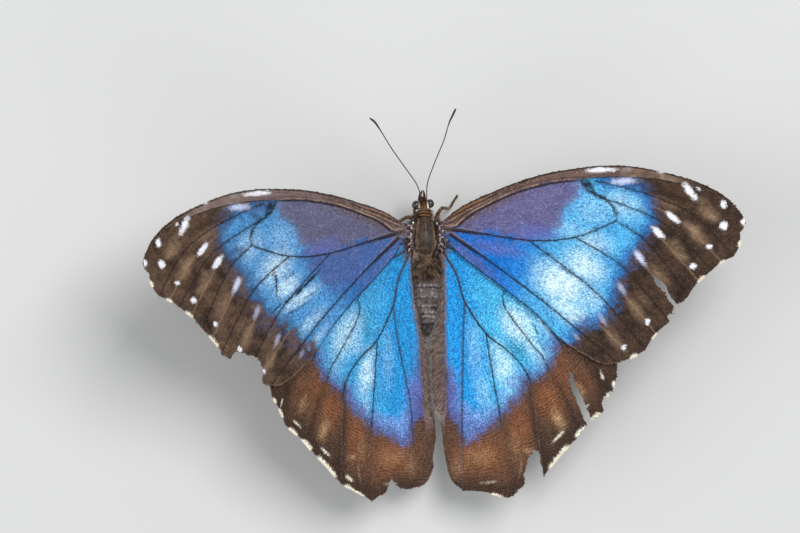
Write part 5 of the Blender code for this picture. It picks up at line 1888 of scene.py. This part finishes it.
def limb_hairs(random, line, radius, axes, ends, depth, count):
    """Places of hairs round a limb: (step along it, turn round it, direction out, direction on, root)."""
    across, over = axes
    pick = random.integers(ends[0], len(line) - ends[1], count)
    turn = random.random(count) * math.tau
    out = across[pick] * np.cos(turn)[:, None] + over[pick] * np.sin(turn)[:, None]
    return pick, turn, out, directions(line)[pick], line[pick] + out * (radius[pick] * depth)[:, None]


# Step along a feeler, and length of one of its segments
ANTENNA_STEP = 0.09
ANTENNA_SEGMENT = 0.42
# Step along a palp, and its hairs
PALP_STEP = 0.08
PALP_HAIRS = 900


def make_antennae(material):
    """Feelers of many short segments, thickening into a slender club."""
    for side, path in ANTENNA_PATHS.items():
        socket = turned_head((SIDES[side] * 0.55, 0.75, 1.0))
        line = resampled(smooth_line([socket, *path], 12), ANTENNA_STEP)
        along = np.arange(len(line)) * ANTENNA_STEP
        share = along / along[-1]
        beat = np.abs(np.sin(math.pi * along / ANTENNA_SEGMENT)) ** 0.4
        club = smoothstep(0.80, 0.93, share) * smoothstep(1.012, 0.97, share)
        radius = (0.115 + 0.12 * club) * (0.86 + 0.14 * beat)
        radius = radius + 0.14 * smoothstep(0.45, 0.0, along)
        radius[-1] = 0.04
        points, faces, _ = tube(line, radius)
        rings = paint(INK["feeler"], INK["feeler ring"], 0.6 * smoothstep(0.75, 0.2, beat))
        shade = paint(rings, INK["feeler tip"], 0.8 * smoothstep(0.97, 1.0, share))
        feeler = piece(f"feeler_{side}", points, faces, material, ring_colours(shade))
        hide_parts(f"antenna_{side}")


def make_mouth(material, hair):
    """The palps with their brushes of hair, and the coiled tongue between them."""
    random = np.random.default_rng(17)
    for side, sign in SIDES.items():
        path = [(HEAD_CENTRE[0] - 0.1 + sign * x, y, z) for x, y, z in PALP_PATH]
        line = resampled(smooth_line([(path[0][0], 7.1, 7.9), *path], 10), PALP_STEP)
        share = np.linspace(0, 1, len(line))
        radius = 0.3 * np.sin(math.pi * np.clip(0.2 + 0.75 * share, 0, 0.97)) ** 0.5
        radius = radius * (1 - 0.55 * share ** 2) * (1 - 0.12 * bell(share - 0.68, 0.03))
        points, faces, axes = tube(line, radius)
        shade = paint(INK["palp"], INK["palp tip"], smoothstep(0.55, 1.0, share))
        palp = piece(f"palp_brush_{side}", points, faces, material, ring_colours(shade))
        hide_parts(f"palp_{side}")
        pick, turn, out, ahead, root = limb_hairs(random, line, radius, axes, (3, 1), 0.8, PALP_HAIRS)
        reach = (0.28 + 0.22 * random.random(PALP_HAIRS)) * (1 - 0.5 * share[pick])
        tip = root + (ahead * 0.9 + out * 0.32) * reach[:, None]
        inner = smoothstep(0.0, 0.6, -sign * out[:, 0] + 0.4 * out[:, 2])
        tint = paint(INK["brush"], INK["brush pale"], 0.9 * inner * (share[pick] > 0.25))
        tint = tint * (1 + random.normal(0, 0.12, PALP_HAIRS))[:, None]
        bake = np.stack([turn / math.tau * 0.4 + (0.5 if sign > 0 else 0.0), pick / len(line)], axis=1)
        brush = spikes(f"palp_hair_{side}", root, tip, 0.06, out, tint, hair, bake, 0.02 * reach)
    turn = np.linspace(0, 2.6 * math.tau, 150)
    arm = PROBOSCIS_RADIUS * (0.86 - 0.24 * turn / math.tau)
    wave = np.stack([0.05 * np.sin(turn), arm * np.cos(turn + 2.6), arm * np.sin(turn + 2.6)], axis=1)
    coil = PROBOSCIS_CENTRE + wave
    coil = np.vstack([np.linspace((coil[0][0], 7.45, 8.35), coil[0], 8)[:-1], coil])
    share = np.linspace(0, 1, len(coil))
    radius = (0.12 - 0.05 * share) * (1 + 0.05 * np.sin(share * 420))
    points, faces, _ = tube(coil, radius)
    tongue = piece("coiled_tongue", points, faces, material, np.tile(INK["tongue"], (len(points), 1)))
    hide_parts("proboscis")


# Legs: share of the way at which each section starts, and its radius there
LEG_PROFILE = [
    (0.0, 0.3), (0.06, 0.4), (0.3, 0.38), (0.42, 0.33), (0.46, 0.37), (0.7, 0.33), (0.75, 0.28),
    (1.0, 0.2),
]
FORELEG_PROFILE = [(0.0, 0.26), (0.3, 0.28), (0.6, 0.2), (0.9, 0.22), (1.0, 0.08)]
# Where a foot starts on its leg, its beads, and the height of its middle line over the floor
TARSUS_START = 0.76
TARSUS_BEADS = 5
FOOT_HEIGHT = 0.17
# Step along a leg, and its hairs
LEG_STEP = 0.09
LEG_HAIRS = 420


def make_legs(material, hair):
    """Walking legs with thigh, shin, five foot beads and claws, and the short brush forelegs."""
    random = np.random.default_rng(23)
    for name, path in LEG_PATHS.items():
        walking = not name.startswith("foreleg")
        places = np.array(path)
        if walking:
            places[-2:, 2] = FOOT_HEIGHT
        line = resampled(smooth_line(places, 14), LEG_STEP)
        share = np.linspace(0, 1, len(line))
        profile = np.array(LEG_PROFILE if walking else FORELEG_PROFILE)
        radius = np.interp(share, profile[:, 0], profile[:, 1])
        if walking:
            foot = np.clip((share - TARSUS_START) / (1 - TARSUS_START), 0, 1)
            bead = np.abs(np.sin(math.pi * TARSUS_BEADS * foot)) ** 0.5
            radius = radius * np.where(foot > 0, 0.78 + 0.26 * bead, 1.0)
            line[:, 2] = np.maximum(line[:, 2], radius + 0.005)
        radius[0] *= 0.6
        points, faces, axes = tube(line, radius)
        shade = painted(
            INK["leg"],
            ("leg spot", 0.9 * smoothstep(-0.1, 0.3, noise(share * 30, share * 0, 1.0, 61))),
            ("thigh", 0.8 * smoothstep(0.45, 0.2, share)),
            ("foot", smoothstep(0.92, 1.0, share)),
        )
        leg = piece(f"{name}_limb", points, faces, material, ring_colours(shade))
        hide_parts(name)
        pick, turn, out, ahead, root = limb_hairs(random, line, radius, axes, (4, 2), 0.9, LEG_HAIRS)
        reach = (0.28 if walking else 0.4) * (0.6 + 0.8 * random.random(LEG_HAIRS))
        tip = root + (ahead + out * 0.45) * reach[:, None]
        tip[:, 2] = np.maximum(tip[:, 2], 0.01)
        root[:, 2] = np.maximum(root[:, 2], 0.03)
        tint = shade[pick] * (0.9 + random.normal(0, 0.2, LEG_HAIRS))[:, None]
        bake = np.stack([turn / math.tau, share[pick]], axis=1)
        bristles = spikes(f"{name}_bristles", root, tip, 0.05, out, tint, hair, bake, 0.02 * reach)
        if walking:
            make_claws(name, line, material)


def make_claws(name, line, material):
    """A pair of small hooked claws at a walking foot."""
    toe = line[-1]
    ahead = toe - line[-8]
    ahead /= np.linalg.norm(ahead)
    across, upright = np.cross(ahead, (0, 0, 1.0)), np.array((0, 0, 1.0))
    u = np.linspace(0, 1, 9)[:, None]
    points, triangles = [], []
    for k, sign in enumerate(SIDES.values()):
        hook = toe + ahead * (0.34 * u - 0.05) + across * sign * (0.05 + 0.12 * u)
        hook = hook + upright * (0.05 * np.sin(math.pi * u) - 0.06 * u * u)
        hook[:, 2] = np.maximum(hook[:, 2], 0.045)
        limb, faces, _ = tube(hook, 0.05 * (1 - 0.85 * u[:, 0]), 8)
        points.append(limb)
        triangles.append(faces + k * len(limb))
    points = np.vstack(points)
    colours = np.tile(INK["claw"], (len(points), 1))
    claws = piece(f"{name}_claws", points, np.vstack(triangles), material, colours)


# ------------------------------------------------------------ stage, light and camera

# Side of the floor, in metres
FLOOR_SIZE = 3.0
# The camera's distance, its roll to the side, and the width of its sensor and of its view at the insect
CAMERA_DISTANCE = 1100.0
CAMERA_ROLL = math.radians(5)
SENSOR_WIDTH = 36.0
FRAME_WIDTH = 173.12
# A point between the wings, and how far to its right and above it the camera aims
AIM = np.array((0.0, -5.84, 11.0))
AIM_RIGHT, AIM_UP = -5.41, -0.974


def make_stage():
    """A plain light floor at z = 0."""
    bpy.ops.mesh.primitive_plane_add(size=FLOOR_SIZE, location=(0, 0, 0))
    floor = bpy.context.object
    floor.name = "floor"
    made, nodes, links, shader = new_material("floor")
    shader.inputs["Base Color"].default_value = (0.52, 0.52, 0.51, 1)
    shader.inputs["Roughness"].default_value = 0.8
    floor.data.materials.append(made)


def area_light(name, place, size, power):
    """A square soft light aimed at the insect; its place and size are in metres."""
    data = bpy.data.lights.new(name, "AREA")
    data.size = size
    data.energy = power
    obj = bpy.data.objects.new(name, data)
    obj.location = place
    obj.rotation_euler = (-Vector(place)).to_track_quat("-Z", "Y").to_euler()
    bpy.context.scene.collection.objects.link(obj)


def make_lights():
    """Three soft lights and an even sky."""
    area_light("key", (0.25, 0.35, 0.85), 0.5, 8.0)
    area_light("fill", (-0.7, -0.1, 0.5), 0.7, 3.8)
    area_light("back", (0.3, -0.8, 0.4), 0.6, 2.2)
    world = bpy.data.worlds.new("studio")
    world.use_nodes = True
    world.node_tree.nodes["Background"].inputs["Color"].default_value = (0.9, 0.95, 1.0, 1)
    world.node_tree.nodes["Background"].inputs["Strength"].default_value = 0.42
    bpy.context.scene.world = world
    bpy.context.scene.view_settings.view_transform = "Standard"


def make_camera():
    """A long lens over the insect, rolled a little to the side."""
    c, n = math.cos(CAMERA_ROLL), math.sin(CAMERA_ROLL)
    back, right, up = np.array((-n, 0, c)), np.array((c, 0, n)), np.array((0, 1, 0))
    target = AIM + right * AIM_RIGHT + up * AIM_UP
    data = bpy.data.cameras.new("camera")
    data.sensor_width = SENSOR_WIDTH
    data.lens = SENSOR_WIDTH * CAMERA_DISTANCE / FRAME_WIDTH
    data.clip_start = 0.05
    data.clip_end = 10.0
    obj = bpy.data.objects.new("camera", data)
    obj.location = (target + back * CAMERA_DISTANCE + OFFSET) * MM
    obj.rotation_euler = Matrix((right, up, back)).transposed().to_euler()
    bpy.context.scene.collection.objects.link(obj)
    bpy.context.scene.camera = obj


make_camera()
make_wings()
make_body()
make_eyes()
chitin = surface_material("chitin", 0.4, 0.1, 0.18, 0.5)
bristle = surface_material("bristle", 0.6, 0.4, 0.1, 0.2)
make_antennae(chitin)
make_mouth(chitin, bristle)
make_legs(chitin, bristle)
make_stage()
make_lights()

bpy.context.view_layer.update()
